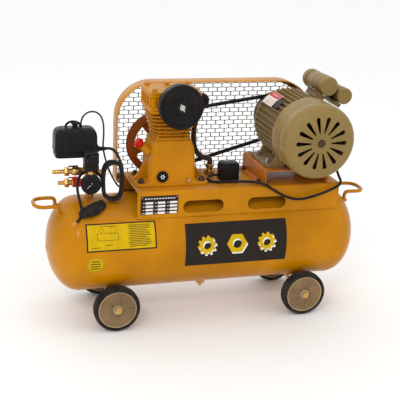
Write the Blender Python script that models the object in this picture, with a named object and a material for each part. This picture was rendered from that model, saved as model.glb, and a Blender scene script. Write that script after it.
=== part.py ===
"""Belt-driven piston air compressor: wheeled tank, single-cylinder pump, V-belt and motor.

Built in millimetres and scaled to metres.  X runs along the tank, -Y is the side with the
slotted saddle front and the fan cowl, +Z is up and the wheels stand on z = 0.
"""
import math

import bmesh
import bpy
from mathutils import Matrix, Vector

MM = 0.001
GAP = 0.3                      # clearance kept between pieces that touch

# ---- driving dimensions (mm) ----
TANK_R = 140.0
TANK_Z = 229.0                 # height of the tank's axis
TANK_HALF = 386.0              # half length of the straight shell
TANK_DOME = 89.0               # depth of each elliptical head
TANK_WALL = 4.0

WHEEL_R = 68.0
WHEEL_X = 290.0
WHEEL_OUT = 147.0              # outer face of the tyres
WHEEL_IN = 113.0
RIM_R = 56.0
AXLE_R = 6.0

SADDLE_X = (-230.0, 392.0)
SADDLE_Y = 103.0
SADDLE_TOP = 408.0
SADDLE_T = 3.0
SLOTS = ((-94.0, 28.0), (103.0, 222.0))
SLOT_Z = 357.0
SLOT_R = 18.0

PUMP_X = -115.0
CRANK_Z = 484.0
DECK_Z = 540.0                 # top face of the crankcase
HEAD_Z = 631.0                 # top face of the cylinder
HEAD_TOP = 684.0
BORE_R = 27.3
THROW = 22.0
ROD_LENGTH = 98.0

MOTOR_X = 266.0
MOTOR_Z = 566.0
BASE_X = (152.0, 352.0)
BASE_TOP = 455.0
FRAME_Y = (-150.0, 62.0)
FIN_TIP_R = 102.0
FIN_ROOT_R = 92.0
COWL_R = 108.0
COWL_FRONT = -223.0
COWL_REAR = -114.0
SHAFT_R = 12.0

BELT_Y = 130.0                 # plane of the drive
BELT_TOP_W = 13.0
BELT_BOTTOM_W = 8.0
BELT_T = 9.0
FLY_BELT_R = 89.5              # belt's middle radius on the flywheel
PULLEY_BELT_R = 64.0           # and on the motor pulley

GUARD_X = (-248.0, 373.0)
GUARD_Z = (370.0, 677.0)
GUARD_Y = (103.3, 165.0)
GUARD_CORNER = 112.0

FILTER_X = -112.0
FILTER_Z = 652.0
FILTER_R = 64.0

STACK_X = -350.0               # pipe that carries the switch, regulator and outlets
SWITCH_BOX = ((-452.0, -36.0, 494.3), (-330.0, 36.0, 577.0))

# the tank's axis stands this far from the middle of the whole machine
FRAME_Y_SHIFT = -(COWL_FRONT + GUARD_Y[1]) / 2


# ---- scene and materials ----
for old in list(bpy.data.objects):
    bpy.data.objects.remove(old, do_unlink=True)

ROOT = bpy.data.objects.new("compressor", None)
ROOT.location = (0.0, FRAME_Y_SHIFT * MM, 0.0)
bpy.context.scene.collection.objects.link(ROOT)


def material(name, colour, roughness, metallic=0.0):
    mat = bpy.data.materials.new(name)
    mat.use_nodes = True
    shader = mat.node_tree.nodes["Principled BSDF"]
    shader.inputs["Base Color"].default_value = (*colour, 1.0)
    shader.inputs["Roughness"].default_value = roughness
    shader.inputs["Metallic"].default_value = metallic
    mat.diffuse_color = (*colour, 1.0)
    return mat


YELLOW = material("machine_yellow", (0.57, 0.24, 0.012), 0.32)
ORANGE = material("base_orange", (0.52, 0.11, 0.012), 0.4)
KHAKI = material("motor_khaki", (0.30, 0.22, 0.085), 0.42)
RUST = material("flywheel_brown", (0.26, 0.07, 0.015), 0.5)
TAUPE = material("hub_taupe", (0.27, 0.18, 0.10), 0.55)
BLACK = material("black_rubber", (0.015, 0.013, 0.012), 0.6)
PLASTIC = material("black_plastic", (0.02, 0.018, 0.018), 0.4)
BRASS = material("brass", (0.55, 0.33, 0.09), 0.32, 1.0)
STEEL = material("bright_steel", (0.5, 0.5, 0.48), 0.3, 1.0)
IRON = material("grey_iron", (0.16, 0.14, 0.12), 0.6, 0.6)
RED = material("red_plastic", (0.6, 0.02, 0.02), 0.35)
WIRE = material("guard_wire", (0.03, 0.025, 0.02), 0.6)
LEAD = material("brown_lead", (0.07, 0.02, 0.012), 0.5)


# ---- shape helpers ----
def axis_point(axis, centre, radius, angle, along):
    a, b = radius * math.cos(angle), radius * math.sin(angle)
    offset = {"X": (along, a, b), "Y": (a, along, b), "Z": (a, b, along)}[axis]
    return Vector(centre) + Vector(offset)


def bridge(bm, low, high):
    """Faces between two rows of vertices; a row of one vertex is a pole."""
    count = max(len(low), len(high))
    for i in range(count):
        j = (i + 1) % count
        corners = [low[i % len(low)], low[j % len(low)], high[j % len(high)], high[i % len(high)]]
        unique = list(dict.fromkeys(corners))
        if len(unique) > 2:
            bm.faces.new(unique)


def loft(loops, ring=False):
    """A closed skin through loops of equal length, capped at its ends unless it is a ring."""
    bm = bmesh.new()
    rows = [[bm.verts.new(point) for point in loop] for loop in loops]
    for low, high in zip(rows, rows[1:]):
        bridge(bm, low, high)
    if ring:
        bridge(bm, rows[-1], rows[0])
    else:
        for row in (rows[0], rows[-1]):
            if len(row) > 2:
                bm.faces.new(row)
    return bm


def turned(profile, axis="Y", centre=(0, 0, 0), segments=32, ring=False):
    """A profile of (radius, distance along the axis) turned about that axis."""
    loops = []
    for radius, along in profile:
        count = segments if radius > 0 else 1
        loops.append([axis_point(axis, centre, radius, 2 * math.pi * i / segments, along)
                      for i in range(count)])
    return loft(loops, ring)


def cylinder(radius, low, high, axis="Y", centre=(0, 0, 0), segments=24):
    return turned([(0, low), (radius, low), (radius, high), (0, high)], axis, centre, segments)


def prism(outline, low, high, plane="XZ"):
    """An outline extruded across its plane."""
    def place(a, b, c):
        return {"XZ": (a, c, b), "YZ": (c, a, b), "XY": (a, b, c)}[plane]
    return loft([[place(a, b, c) for a, b in outline] for c in (low, high)])


def box(low, high):
    return prism([(low[0], low[1]), (high[0], low[1]), (high[0], high[1]), (low[0], high[1])],
                 low[2], high[2], "XY")


def rounded(half_x, half_y, radius, count):
    """Points round a rectangle with round corners, starting at +X, about the origin."""
    points = []
    per_corner = count // 4
    for corner in range(4):
        sx, sy = ((1, 1), (-1, 1), (-1, -1), (1, -1))[corner]
        for i in range(per_corner):
            angle = math.pi / 2 * (corner + i / (per_corner - 1))
            points.append((sx * (half_x - radius) + radius * math.cos(angle),
                           sy * (half_y - radius) + radius * math.sin(angle)))
    return points


def circle(radius, count, turn=0.0):
    return [(radius * math.cos(2 * math.pi * i / count + turn),
             radius * math.sin(2 * math.pi * i / count + turn)) for i in range(count)]


def round_like(radius, count):
    """A circle whose points answer to those of rounded()."""
    per_corner = count // 4
    return [(radius * math.cos(math.pi / 2 * (corner + (i + 0.5) / per_corner)),
             radius * math.sin(math.pi / 2 * (corner + (i + 0.5) / per_corner)))
            for corner in range(4) for i in range(per_corner)]


def hexagon(flats, count=12):
    """A hexagon of the given width across flats, with a point at each flat's middle."""
    tip = flats / math.sqrt(3)
    return [((tip if i % 2 == 0 else flats / 2) * math.cos(math.pi * i / 6),
             (tip if i % 2 == 0 else flats / 2) * math.sin(math.pi * i / 6)) for i in range(count)]


def at(points, along, axis="Z", centre=(0, 0, 0)):
    cx, cy, cz = centre
    return [{"X": (cx + along, cy + a, cz + b), "Y": (cx + a, cy + along, cz + b),
             "Z": (cx + a, cy + b, cz + along)}[axis] for a, b in points]


def smooth_path(points, steps=4):
    """A Catmull-Rom curve through the points."""
    knots = [Vector(p) for p in points]
    knots = [2 * knots[0] - knots[1]] + knots + [2 * knots[-1] - knots[-2]]
    path = []
    for a, b, c, d in zip(knots, knots[1:], knots[2:], knots[3:]):
        for i in range(steps):
            t = i / steps
            path.append(0.5 * (2 * b + (c - a) * t + (2 * a - 5 * b + 4 * c - d) * t ** 2
                               + (3 * b - a - 3 * c + d) * t ** 3))
    return path + [knots[-2]]


# ---- objects ----
def adopt(obj, mat, origin=(0, 0, 0)):
    obj.parent = ROOT
    obj.location = Vector(origin) * MM
    obj.data.materials.append(mat)
    bpy.context.scene.collection.objects.link(obj)
    return obj


def piece(name, bm, mat, origin=(0, 0, 0), cuts=(), adds=(), turn=None, smooth=35):
    """One closed body: bm with the adds fused on and then the cuts taken away."""
    def mesh_of(label, shape):
        if turn is not None:
            bmesh.ops.transform(shape, matrix=turn, verts=shape.verts)
        bmesh.ops.recalc_face_normals(shape, faces=shape.faces)
        bmesh.ops.transform(shape, matrix=Matrix.Scale(MM, 4) @ Matrix.Translation(-Vector(origin)),
                            verts=shape.verts)
        mesh = bpy.data.meshes.new(label)
        shape.to_mesh(mesh)
        shape.free()
        return mesh

    obj = adopt(bpy.data.objects.new(name, mesh_of(name, bm)), mat, origin)
    helpers = []
    for operation, shapes in (("UNION", adds), ("DIFFERENCE", cuts)):
        for shape in shapes:
            tool = bpy.data.objects.new(name + "_tool", mesh_of(name + "_tool", shape))
            bpy.context.scene.collection.objects.link(tool)
            tool.parent = ROOT
            tool.location = obj.location
            modifier = obj.modifiers.new(operation.lower(), "BOOLEAN")
            modifier.operation = operation
            modifier.solver = "EXACT"
            modifier.object = tool
            helpers.append(tool)
    if helpers:
        bpy.context.view_layer.update()
        graph = bpy.context.evaluated_depsgraph_get()
        mesh = bpy.data.meshes.new_from_object(obj.evaluated_get(graph))
        obj.modifiers.clear()
        obj.data = mesh
        for tool in helpers:
            bpy.data.objects.remove(tool, do_unlink=True)
    obj.data.shade_smooth()
    obj.data.set_sharp_from_angle(angle=math.radians(smooth))
    return obj


def tube(name, path, radius, mat, resolution=2):
    """A round rod or cable along a path, with closed ends."""
    curve = bpy.data.curves.new(name, "CURVE")
    curve.dimensions = "3D"
    curve.bevel_depth = radius * MM
    curve.bevel_resolution = resolution
    curve.use_fill_caps = True
    spline = curve.splines.new("POLY")
    spline.points.add(len(path) - 1)
    for point, place in zip(spline.points, path):
        point.co = (*(Vector(place) * MM), 1.0)
    return adopt(bpy.data.objects.new(name, curve), mat)


def relief(start, along, length):
    """A tapered strain relief, from inside a housing's wall out along a lead's first stretch."""
    profile = [(0, -3), (8.5, -3), (8.5, 4), (7.4, 4.6), (5.2, length), (0, length)]
    bm = turned(profile, "Z", (0, 0, 0), 16)
    turn = Vector((0, 0, 1)).rotation_difference(Vector(along)).to_matrix().to_4x4()
    bmesh.ops.transform(bm, matrix=Matrix.Translation(Vector(start)) @ turn, verts=bm.verts)
    return bm


# ---- tank, handles and running gear ----
def dome_radius(x):
    depth = max(0.0, abs(x) - TANK_HALF) / TANK_DOME
    return TANK_R * math.sqrt(max(0.0, 1 - depth * depth))


def tank_profile(shrink, steps):
    half = [(( TANK_R - shrink) * math.cos(math.pi / 2 * i / steps),
             TANK_HALF + (TANK_DOME - shrink) * math.sin(math.pi / 2 * i / steps))
            for i in range(steps)] + [(0.0, TANK_HALF + TANK_DOME - shrink)]
    return [(radius, -along) for radius, along in reversed(half)] + half


def build_tank():
    centre = (0, 0, TANK_Z)
    cavity = turned(tank_profile(TANK_WALL, 3), "X", centre, 16)
    drain = cylinder(5.0, TANK_Z - TANK_R - 10, TANK_Z - TANK_R + 15, "Z", (0, 0, 0), 12)
    tank = piece("tank_shell", turned(tank_profile(0, 5), "X", centre, 36), YELLOW, cuts=(cavity, drain))
    return tank


def build_handles():
    rod, reach, side, level = 5.5, 509.5, 40.0, 356.0
    for sign, label in ((-1, "left"), (1, "right")):
        root_x = 442.0
        foot = TANK_Z + math.sqrt(dome_radius(root_x) ** 2 - side ** 2) + 7.0
        corners = [(root_x, -side, foot), (root_x + 2, -side, level - 6), (root_x + 12, -side, level),
                   (reach - 22, -side, level), (reach - 6, -side + 8, level), (reach, -12, level),
                   (reach, 12, level), (reach - 6, side - 8, level), (reach - 22, side, level),
                   (root_x + 12, side, level), (root_x + 2, side, level - 6), (root_x, side, foot)]
        tube(f"handle_{label}", smooth_path([(sign * x, y, z) for x, y, z in corners], 1), rod, YELLOW)


def build_legs():
    width, out, thick, hem = 40.0, 96.0, 4.0, 54.0

    def arc(radius, reach, steps=8):
        ys = [reach * (2 * i / steps - 1) for i in range(steps + 1)]
        return [(y, TANK_Z - math.sqrt(radius ** 2 - y * y)) for y in ys]

    shoulder = 116.0
    outline = ([(-out, hem), (-out, shoulder)] + arc(TANK_R + 1.5, 78.0)
               + [(out, shoulder), (out, hem), (out - thick, hem), (out - thick, shoulder - thick)]
               + arc(TANK_R + 1.5 + thick, 76.0)[::-1]
               + [(thick - out, shoulder - thick), (thick - out, hem)])
    for sign, label in ((-1, "left"), (1, "right")):
        x = sign * WHEEL_X
        hole = cylinder(AXLE_R + GAP, -out - 5, out + 5, "Y", (x, 0, WHEEL_R), 16)
        piece(f"leg_{label}", prism(outline, x - width / 2, x + width / 2, "YZ"), YELLOW, cuts=(hole,))


def build_axles():
    nut_in, nut_out = WHEEL_OUT + 2.4, WHEEL_OUT + 8.5
    for sign, label in ((-1, "left"), (1, "right")):
        centre = (sign * WHEEL_X, 0, WHEEL_R)
        nut, rod = hexagon(19.0), circle(AXLE_R, 12)
        loops = [at(nut, -nut_out, "Y", centre), at(nut, -nut_in, "Y", centre),
                 at(rod, -nut_in, "Y", centre), at(rod, nut_in, "Y", centre),
                 at(nut, nut_in, "Y", centre), at(nut, nut_out, "Y", centre)]
        piece(f"axle_{label}", loft(loops), BRASS)


def build_wheels():
    tyre = [(RIM_R + 1, WHEEL_IN + 1), (63, WHEEL_IN), (WHEEL_R, WHEEL_IN + 9),
            (WHEEL_R, WHEEL_OUT - 9), (63, WHEEL_OUT), (RIM_R + 1, WHEEL_OUT - 1)]
    bore = AXLE_R + 0.4
    hub = [(bore, 100), (bore, WHEEL_OUT + 2), (14, WHEEL_OUT + 2), (16, WHEEL_OUT - 5),
           (50, WHEEL_OUT - 5), (RIM_R, WHEEL_OUT - 2), (RIM_R, WHEEL_IN + 2), (51, WHEEL_IN + 2),
           (49, WHEEL_OUT - 10), (14, WHEEL_OUT - 10), (14, 100)]
    for end, sx in (("left", -1), ("right", 1)):
        for row, sy in (("front", -1), ("rear", 1)):
            centre = (sx * WHEEL_X, 0, WHEEL_R)
            piece(f"tyre_{row}_{end}", turned([(r, sy * y) for r, y in tyre], "Y", centre, 24, True),
                  BLACK, origin=centre)
            piece(f"wheel_hub_{row}_{end}", turned([(r, sy * y) for r, y in hub], "Y", centre, 16, True),
                  TAUPE, origin=centre)


def build_drain_cock():
    """Boss and wing valve under the middle of the tank."""
    top = TANK_Z - TANK_R - GAP
    body = turned([(0, top), (9, top), (9, top - 9), (6, top - 9), (6, top - 24), (3, top - 30), (0, top - 30)],
                  "Z", segments=16)
    wing = box((-14, -1.5, top - 21), (14, 1.5, top - 13))
    piece("drain_cock", body, BRASS, adds=(wing,))


# ---- saddle and motor base ----
def obround_cutter(x0, x1):
    steps = 8
    right = [(x1 - SLOT_R + SLOT_R * math.cos(a), SLOT_Z + SLOT_R * math.sin(a))
             for a in (math.pi * (i / steps - 0.5) for i in range(steps + 1))]
    left = [(x0 + SLOT_R - SLOT_R * math.cos(a), SLOT_Z - SLOT_R * math.sin(a))
            for a in (math.pi * (i / steps - 0.5) for i in range(steps + 1))]
    return prism(right + left, -SADDLE_Y - 10, SADDLE_Y + 10)


def build_saddle():
    inner = SADDLE_Y - SADDLE_T
    hem = TANK_Z + math.sqrt(TANK_R ** 2 - inner ** 2) + GAP
    bend = 5.0

    def corner(sign, radius, centre_y, centre_z, steps=3):
        return [(sign * (centre_y + radius * math.sin(math.pi / 2 * i / steps)),
                 centre_z + radius * math.cos(math.pi / 2 * i / steps)) for i in range(steps + 1)]

    outer = (corner(-1, bend, SADDLE_Y - bend, SADDLE_TOP - bend)[::-1]
             + corner(1, bend, SADDLE_Y - bend, SADDLE_TOP - bend))
    inside = (corner(1, bend - SADDLE_T, SADDLE_Y - bend, SADDLE_TOP - bend)[::-1]
              + corner(-1, bend - SADDLE_T, SADDLE_Y - bend, SADDLE_TOP - bend))
    outline = [(-SADDLE_Y, hem)] + outer + [(SADDLE_Y, hem), (inner, hem)] + inside + [(-inner, hem)]
    cuts = [obround_cutter(*span) for span in SLOTS]
    piece("saddle", prism(outline, *SADDLE_X, "YZ"), YELLOW, cuts=cuts)


def build_motor_base():
    """Folded channel, open to the front, with a foot flange down each side."""
    x0, x1 = BASE_X
    low, wall, foot = SADDLE_TOP + GAP, 4.0, 17.0
    outline = [(x0 - foot, low), (x0 - foot, low + 3), (x0, low + 3), (x0, BASE_TOP), (x1, BASE_TOP),
               (x1, low + 3), (x1 + foot, low + 3), (x1 + foot, low), (x1 - wall, low),
               (x1 - wall, BASE_TOP - wall), (x0 + wall, BASE_TOP - wall), (x0 + wall, low)]
    piece("motor_base", prism(outline, -103, 100), ORANGE)


# ---- pump ----
def oil_boss_frame():
    """Local frame whose Z axis is the oil filler's, leaning out of the crankcase's left shoulder."""
    return Matrix.Translation((PUMP_X - 76, -22, 512)) @ Matrix.Rotation(math.radians(-48), 4, "Y")


def build_crankcase():
    foot = SADDLE_TOP + GAP
    count = 16
    centre = (PUMP_X, 0, 0)
    loops = [at(rounded(107, 64, 10, count), foot, "Z", centre),
             at(rounded(107, 64, 10, count), foot + 8, "Z", centre),
             at(rounded(70, 56, 8, count), foot + 9, "Z", centre),
             at(rounded(65, 55, 8, count), 518, "Z", centre),
             at(rounded(55, 49, 8, count), DECK_Z, "Z", centre),
             at(round_like(29, count), DECK_Z, "Z", centre),
             at(round_like(29, count), 533, "Z", centre),
             at(rounded(58, 47, 8, count), 512, "Z", centre),
             at(rounded(60, 48, 8, count), 424, "Z", centre)]
    gussets = []
    for sx in (-1, 1):
        for y0 in (-6,):
            triangle = [(PUMP_X + sx * 64, foot + 4), (PUMP_X + sx * 104, foot + 4),
                        (PUMP_X + sx * 104, foot + 11), (PUMP_X + sx * 64, 478)]
            gussets.append(prism(triangle, y0, y0 + 12))
    bearing = cylinder(28, 50, 70, "Y", (PUMP_X, 0, CRANK_Z), 16)
    filler = cylinder(12, -12, 16, "Z", segments=12)
    bmesh.ops.transform(filler, matrix=oil_boss_frame(), verts=filler.verts)
    shaft_hole = cylinder(SHAFT_R + GAP, 40, 80, "Y", (PUMP_X, 0, CRANK_Z), 16)
    piece("crankcase", loft(loops), YELLOW, adds=gussets + [bearing, filler], cuts=(shaft_hole,))


def build_oil_and_glass():
    cap = turned([(0, 16.3), (8, 16.3), (8, 20), (13, 20), (14, 23), (14, 33), (11, 36), (0, 36)],
                 "Z", segments=12)
    piece("oil_plug", cap, RED, turn=oil_boss_frame())
    face = -56.0
    ring = [(0, face - GAP), (17, face - GAP), (17, face - 4), (14, face - 6), (10, face - 5), (0, face - 5)]
    piece("sight_glass", turned(ring, "Y", (PUMP_X - 32, 0, 437), 16), STEEL)


def build_cylinder():
    count = 16
    fins, pitch, thick = 7, 11.2, 4.5
    centre = (PUMP_X, 0, 0)
    base = DECK_Z + GAP
    loops = [at(rounded(52, 46, 8, count), base, "Z", centre), at(rounded(52, 46, 8, count), base + 8, "Z", centre),
             at(rounded(40, 38, 20, count), base + 8, "Z", centre)]
    for i in range(fins):
        z = base + 14 + i * pitch
        grow = i / (fins - 1)
        fin = rounded(54 + 18 * grow, 48 + 12 * grow, 12, count)
        core = rounded(40, 38, 20, count)
        loops += [at(core, z, "Z", centre), at(fin, z, "Z", centre), at(fin, z + thick, "Z", centre)]
        if i < fins - 1:
            loops.append(at(core, z + thick, "Z", centre))
    loops[-1] = at(rounded(72, 60, 12, count), HEAD_Z, "Z", centre)
    loops += [at(round_like(BORE_R, count), HEAD_Z, "Z", centre), at(round_like(BORE_R, count), base, "Z", centre)]
    piece("cylinder", loft(loops, ring=True), YELLOW)


def build_head():
    count = 16
    centre = (PUMP_X, 0, 0)
    low = HEAD_Z + GAP
    loops = [at(rounded(half_x, half_y, 8, count), z, "Z", centre) for half_x, half_y, z in
             ((76, 62, low), (76, 62, low + 9), (71, 57, low + 10), (71, 57, 670), (76, 62, 671), (76, 62, HEAD_TOP))]
    intake = cylinder(17, -72, -50, "Y", (FILTER_X, 0, FILTER_Z), 20)
    outlet = cylinder(13, PUMP_X + 60, PUMP_X + 84, "X", (0, 8, 655), 16)
    piece("cylinder_head", loft(loops), YELLOW, adds=(intake, outlet))


def build_running_gear():
    centre = (PUMP_X, 0, CRANK_Z)
    shaft = [(0, 10), (36, 10), (36, 20), (SHAFT_R, 21), (SHAFT_R, 149), (8, 152), (0, 152)]
    piece("crankshaft", turned(shaft, "Y", centre, 16), IRON, origin=centre)
    pin_z = CRANK_Z + THROW
    wrist_z = pin_z + ROD_LENGTH
    big_end = cylinder(14, -6, 6, "Y", (PUMP_X, 0, pin_z), 12)
    shank = prism([(PUMP_X - 9, pin_z + 8), (PUMP_X + 9, pin_z + 8), (PUMP_X + 6, wrist_z - 5),
                   (PUMP_X - 6, wrist_z - 5)], -4, 4)
    small_end = cylinder(10, -6.5, 6.5, "Y", (PUMP_X, 0, wrist_z), 12)
    crank_pin = cylinder(7, -7, 9.5, "Y", (PUMP_X, 0, pin_z), 10)
    wrist_pin = cylinder(5, -18, 18, "Y", (PUMP_X, 0, wrist_z), 8)
    wrist = (PUMP_X, 0, wrist_z)
    piece("connecting_rod", big_end, IRON, origin=wrist, adds=(shank, small_end, crank_pin, wrist_pin))
    piston = [(0, 26), (26.3, 26), (26.3, -14), (19.5, -14), (19.5, 17), (0, 17)]
    piece("piston", turned(piston, "Z", wrist, 16), STEEL, origin=wrist)


def build_air_filter():
    centre = (FILTER_X, 0, FILTER_Z)
    base = [(0, -72.3), (20, -72.3), (62, -82), (62, -97), (57, -97), (57, -86), (0, -80)]
    cover = [(0, -97.3), (60, -97.3), (FILTER_R, -99), (FILTER_R, -112), (58, -119), (14, -117), (12, -121),
             (0, -121)]
    piece("air_filter_base", turned(base, "Y", centre, 24), PLASTIC)
    piece("air_filter_cover", turned(cover, "Y", centre, 28), PLASTIC)


def build_discharge():
    route = [(PUMP_X + 85.5, 8, 655), (PUMP_X + 100, 8, 655), (PUMP_X + 112, 16, 645), (PUMP_X + 104, 34, 610),
             (PUMP_X + 92, 50, 570), (PUMP_X + 92, 62, 520), (PUMP_X + 100, 66, 480), (PUMP_X + 120, 58, 458),
             (PUMP_X + 136, 44, 457), (PUMP_X + 140, 40, 450), (PUMP_X + 140, 40, 441)]
    tube("discharge_pipe", smooth_path(route, 2), 8, LEAD, 2)
    valve = [at(hexagon(28), SADDLE_TOP + GAP, "Z"), at(hexagon(28), SADDLE_TOP + 14, "Z"),
             at(circle(10, 12), SADDLE_TOP + 14, "Z"), at(circle(10, 12), SADDLE_TOP + 22, "Z"),
             at(hexagon(24), SADDLE_TOP + 22, "Z"), at(hexagon(24), SADDLE_TOP + 32, "Z")]
    shifted = [[(x + PUMP_X + 140, y + 40, z) for x, y, z in loop] for loop in valve]
    piece("check_valve", loft(shifted), BRASS)


# ---- belt drive ----
def sheave(belt_r, bore, hub_r, hub_half, rim_inner=None):
    """Turned profile of a V-grooved wheel, about the belt's plane; a rim alone when rim_inner is given."""
    top = belt_r + BELT_T / 2
    slope = (BELT_TOP_W - BELT_BOTTOM_W) / 2 / BELT_T
    outer = top + 3.5
    floor = top - BELT_T - 1.5

    def half(radius):
        return BELT_TOP_W / 2 + 0.45 + slope * (radius - top)

    side = half(outer) + 3.5
    groove = [(outer, -side), (outer, -half(outer)), (floor, -half(floor)), (floor, half(floor)),
              (outer, half(outer)), (outer, side)]
    if rim_inner is not None:
        return [(rim_inner, -side)] + groove + [(rim_inner, side)]
    return ([(bore, -hub_half), (hub_r, -hub_half), (hub_r, -side)] + groove
            + [(hub_r, side), (hub_r, hub_half), (bore, hub_half)])


def build_flywheel():
    centre = (PUMP_X, BELT_Y, CRANK_Z)
    rim_inner = FLY_BELT_R - 14
    bore = SHAFT_R + GAP
    rim = turned(sheave(FLY_BELT_R, 0, 0, 0, rim_inner), "Y", centre, 32, True)
    hub = turned([(bore, -15), (26, -15), (26, 15), (bore, 15)], "Y", centre, 16, True)
    spokes = []
    for i in range(5):
        spoke = box((22, -5, -11), (rim_inner + 2, 5, 11))
        place = Matrix.Translation(centre) @ Matrix.Rotation(2 * math.pi * i / 5 + 0.35, 4, "Y")
        bmesh.ops.transform(spoke, matrix=place, verts=spoke.verts)
        spokes.append(spoke)
    piece("flywheel", rim, RUST, origin=centre, adds=[hub] + spokes)


def build_motor_pulley():
    centre = (MOTOR_X, BELT_Y, MOTOR_Z)
    profile = sheave(PULLEY_BELT_R, SHAFT_R + GAP, 28, 15)
    piece("motor_pulley", turned(profile, "Y", centre, 24, True), IRON, origin=centre)


def build_belt():
    a, b = Vector((PUMP_X, CRANK_Z)), Vector((MOTOR_X, MOTOR_Z))
    span = (b - a).length
    heading = math.atan2(b.y - a.y, b.x - a.x)
    wrap = math.asin((FLY_BELT_R - PULLEY_BELT_R) / span)
    stations = []
    for centre, radius, start, sweep, steps in (
            (a, FLY_BELT_R, heading + math.pi / 2 - wrap, math.pi + 2 * wrap, 20),
            (b, PULLEY_BELT_R, heading - math.pi / 2 + wrap, math.pi - 2 * wrap, 16)):
        for i in range(steps + 1):
            angle = start + sweep * i / steps
            stations.append((centre, radius, Vector((math.cos(angle), math.sin(angle)))))
    loops = []
    for centre, radius, out in stations:
        outer, inner = centre + out * (radius + BELT_T / 2), centre + out * (radius - BELT_T / 2)
        loops.append([(outer.x, BELT_Y - BELT_TOP_W / 2, outer.y), (outer.x, BELT_Y + BELT_TOP_W / 2, outer.y),
                      (inner.x, BELT_Y + BELT_BOTTOM_W / 2, inner.y), (inner.x, BELT_Y - BELT_BOTTOM_W / 2, inner.y)])
    piece("v_belt", loft(loops, ring=True), BLACK)


def guard_outline(inset, corner_steps=6):
    x0, x1 = GUARD_X[0] + inset, GUARD_X[1] - inset
    z0, z1 = GUARD_Z[0] + inset, GUARD_Z[1] - inset
    big, small = GUARD_CORNER - inset, max(12 - inset, 1.0)
    points = []
    for cx, cz, radius, start in ((x1 - big, z1 - big, big, 0), (x0 + big, z1 - big, big, 90),
                                  (x0 + small, z0 + small, small, 180), (x1 - small, z0 + small, small, 270)):
        for i in range(corner_steps + 1):
            angle = math.radians(start + 90 * i / corner_steps)
            points.append((cx + radius * math.cos(angle), cz + radius * math.sin(angle)))
    return points


def build_guard():
    front, rear = GUARD_Y
    sheet, flange = 2.0, 14.0
    loops = [at(guard_outline(inset), y, "Y") for inset, y in
             ((0, front), (0, rear), (flange, rear), (flange, rear - sheet), (sheet, rear - sheet), (sheet, front))]
    piece("guard_frame", loft(loops, ring=True), YELLOW)

    columns, rows, bar, depth = 9, 5, 5.0, 2.0
    inset = sheet + 1
    back = rear - sheet - GAP
    outline = guard_outline(inset)
    x0, x1, z0, z1 = GUARD_X[0] + inset, GUARD_X[1] - inset, GUARD_Z[0] + inset, GUARD_Z[1] - inset
    panel = prism(outline, back - depth, back)
    pitch_x, pitch_z = (x1 - x0) / columns, (z1 - z0) / rows
    corner_x, corner_z = (x0 + x1) / 2, z1 - GUARD_CORNER
    cuts = []
    for i in range(columns):
        for k in range(rows):
            ax, az = x0 + i * pitch_x + bar / 2, z0 + k * pitch_z + bar / 2
            bx, bz = ax + pitch_x - bar, az + pitch_z - bar
            far_x = max(abs(ax - corner_x), abs(bx - corner_x)) - ((x1 - x0) / 2 - GUARD_CORNER)
            far_z = bz - corner_z
            if far_x > 0 and far_z > 0 and math.hypot(far_x, far_z) > GUARD_CORNER - bar:
                continue
            cuts.append(box((ax, back - depth - 2, az), (bx, back + 2, bz)))
    piece("guard_mesh", panel, WIRE, cuts=cuts)


# ---- motor ----
def build_motor_frame():
    fins = 28
    front, rear = FRAME_Y
    centre = (MOTOR_X, 0, MOTOR_Z)
    outline, bore = [], []
    for i in range(fins):
        mid = 2 * math.pi * i / fins
        for radius, turn in ((FIN_ROOT_R, -0.07), (FIN_TIP_R, -0.04), (FIN_TIP_R, 0.04), (FIN_ROOT_R, 0.07)):
            outline.append((radius * math.cos(mid + turn), radius * math.sin(mid + turn)))
            bore.append((84 * math.cos(mid + turn * 1.2), 84 * math.sin(mid + turn * 1.2)))
    loops = [at(outline, front, "Y", centre), at(outline, rear, "Y", centre),
             at(bore, rear, "Y", centre), at(bore, front, "Y", centre)]
    low = BASE_TOP + GAP
    feet = []
    for side in (-1, 1):
        foot = [(105, low), (105, low + 11), (84, low + 15), (62, MOTOR_Z - 61.5), (35, MOTOR_Z - 81), (45, low)]
        feet.append(prism([(MOTOR_X + side * x, z) for x, z in foot], -78, 50))
    feet.append(relief((359.5, 40, 533.4), (0.825, -0.012, -0.565), 27.0))
    piece("motor_frame", loft(loops, ring=True), KHAKI, adds=feet)


def build_motor_inside():
    centre = (MOTOR_X, 0, MOTOR_Z)
    core = [(0, -204), (9, -204), (SHAFT_R, -200), (SHAFT_R, -70), (70, -68), (70, 45), (SHAFT_R, 47),
            (SHAFT_R, 148), (9, 150), (0, 150)]
    piece("motor_rotor", turned(core, "Y", centre, 16), IRON, origin=centre)
    rear = FRAME_Y[1] + GAP
    bore = SHAFT_R + 0.5
    shield = [(bore, rear), (96, rear), (96, rear + 6), (34, rear + 16), (30, rear + 26), (bore, rear + 26)]
    piece("drive_end_shield", turned(shield, "Y", centre, 24, True), KHAKI)
    blades = 10
    outline, hole = [], []
    for i in range(blades):
        mid = 2 * math.pi * i / blades
        for radius, turn in ((26, -0.1), (96, -0.022), (96, 0.022), (26, 0.1)):
            outline.append((radius * math.cos(mid + turn), radius * math.sin(mid + turn)))
            hole.append(((SHAFT_R + GAP) * math.cos(mid + turn * 2), (SHAFT_R + GAP) * math.sin(mid + turn * 2)))
    loops = [at(outline, -196, "Y", centre), at(outline, -164, "Y", centre), at(hole, -164, "Y", centre),
             at(hole, -196, "Y", centre)]
    piece("cooling_fan", loft(loops, ring=True), PLASTIC, origin=centre)


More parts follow.
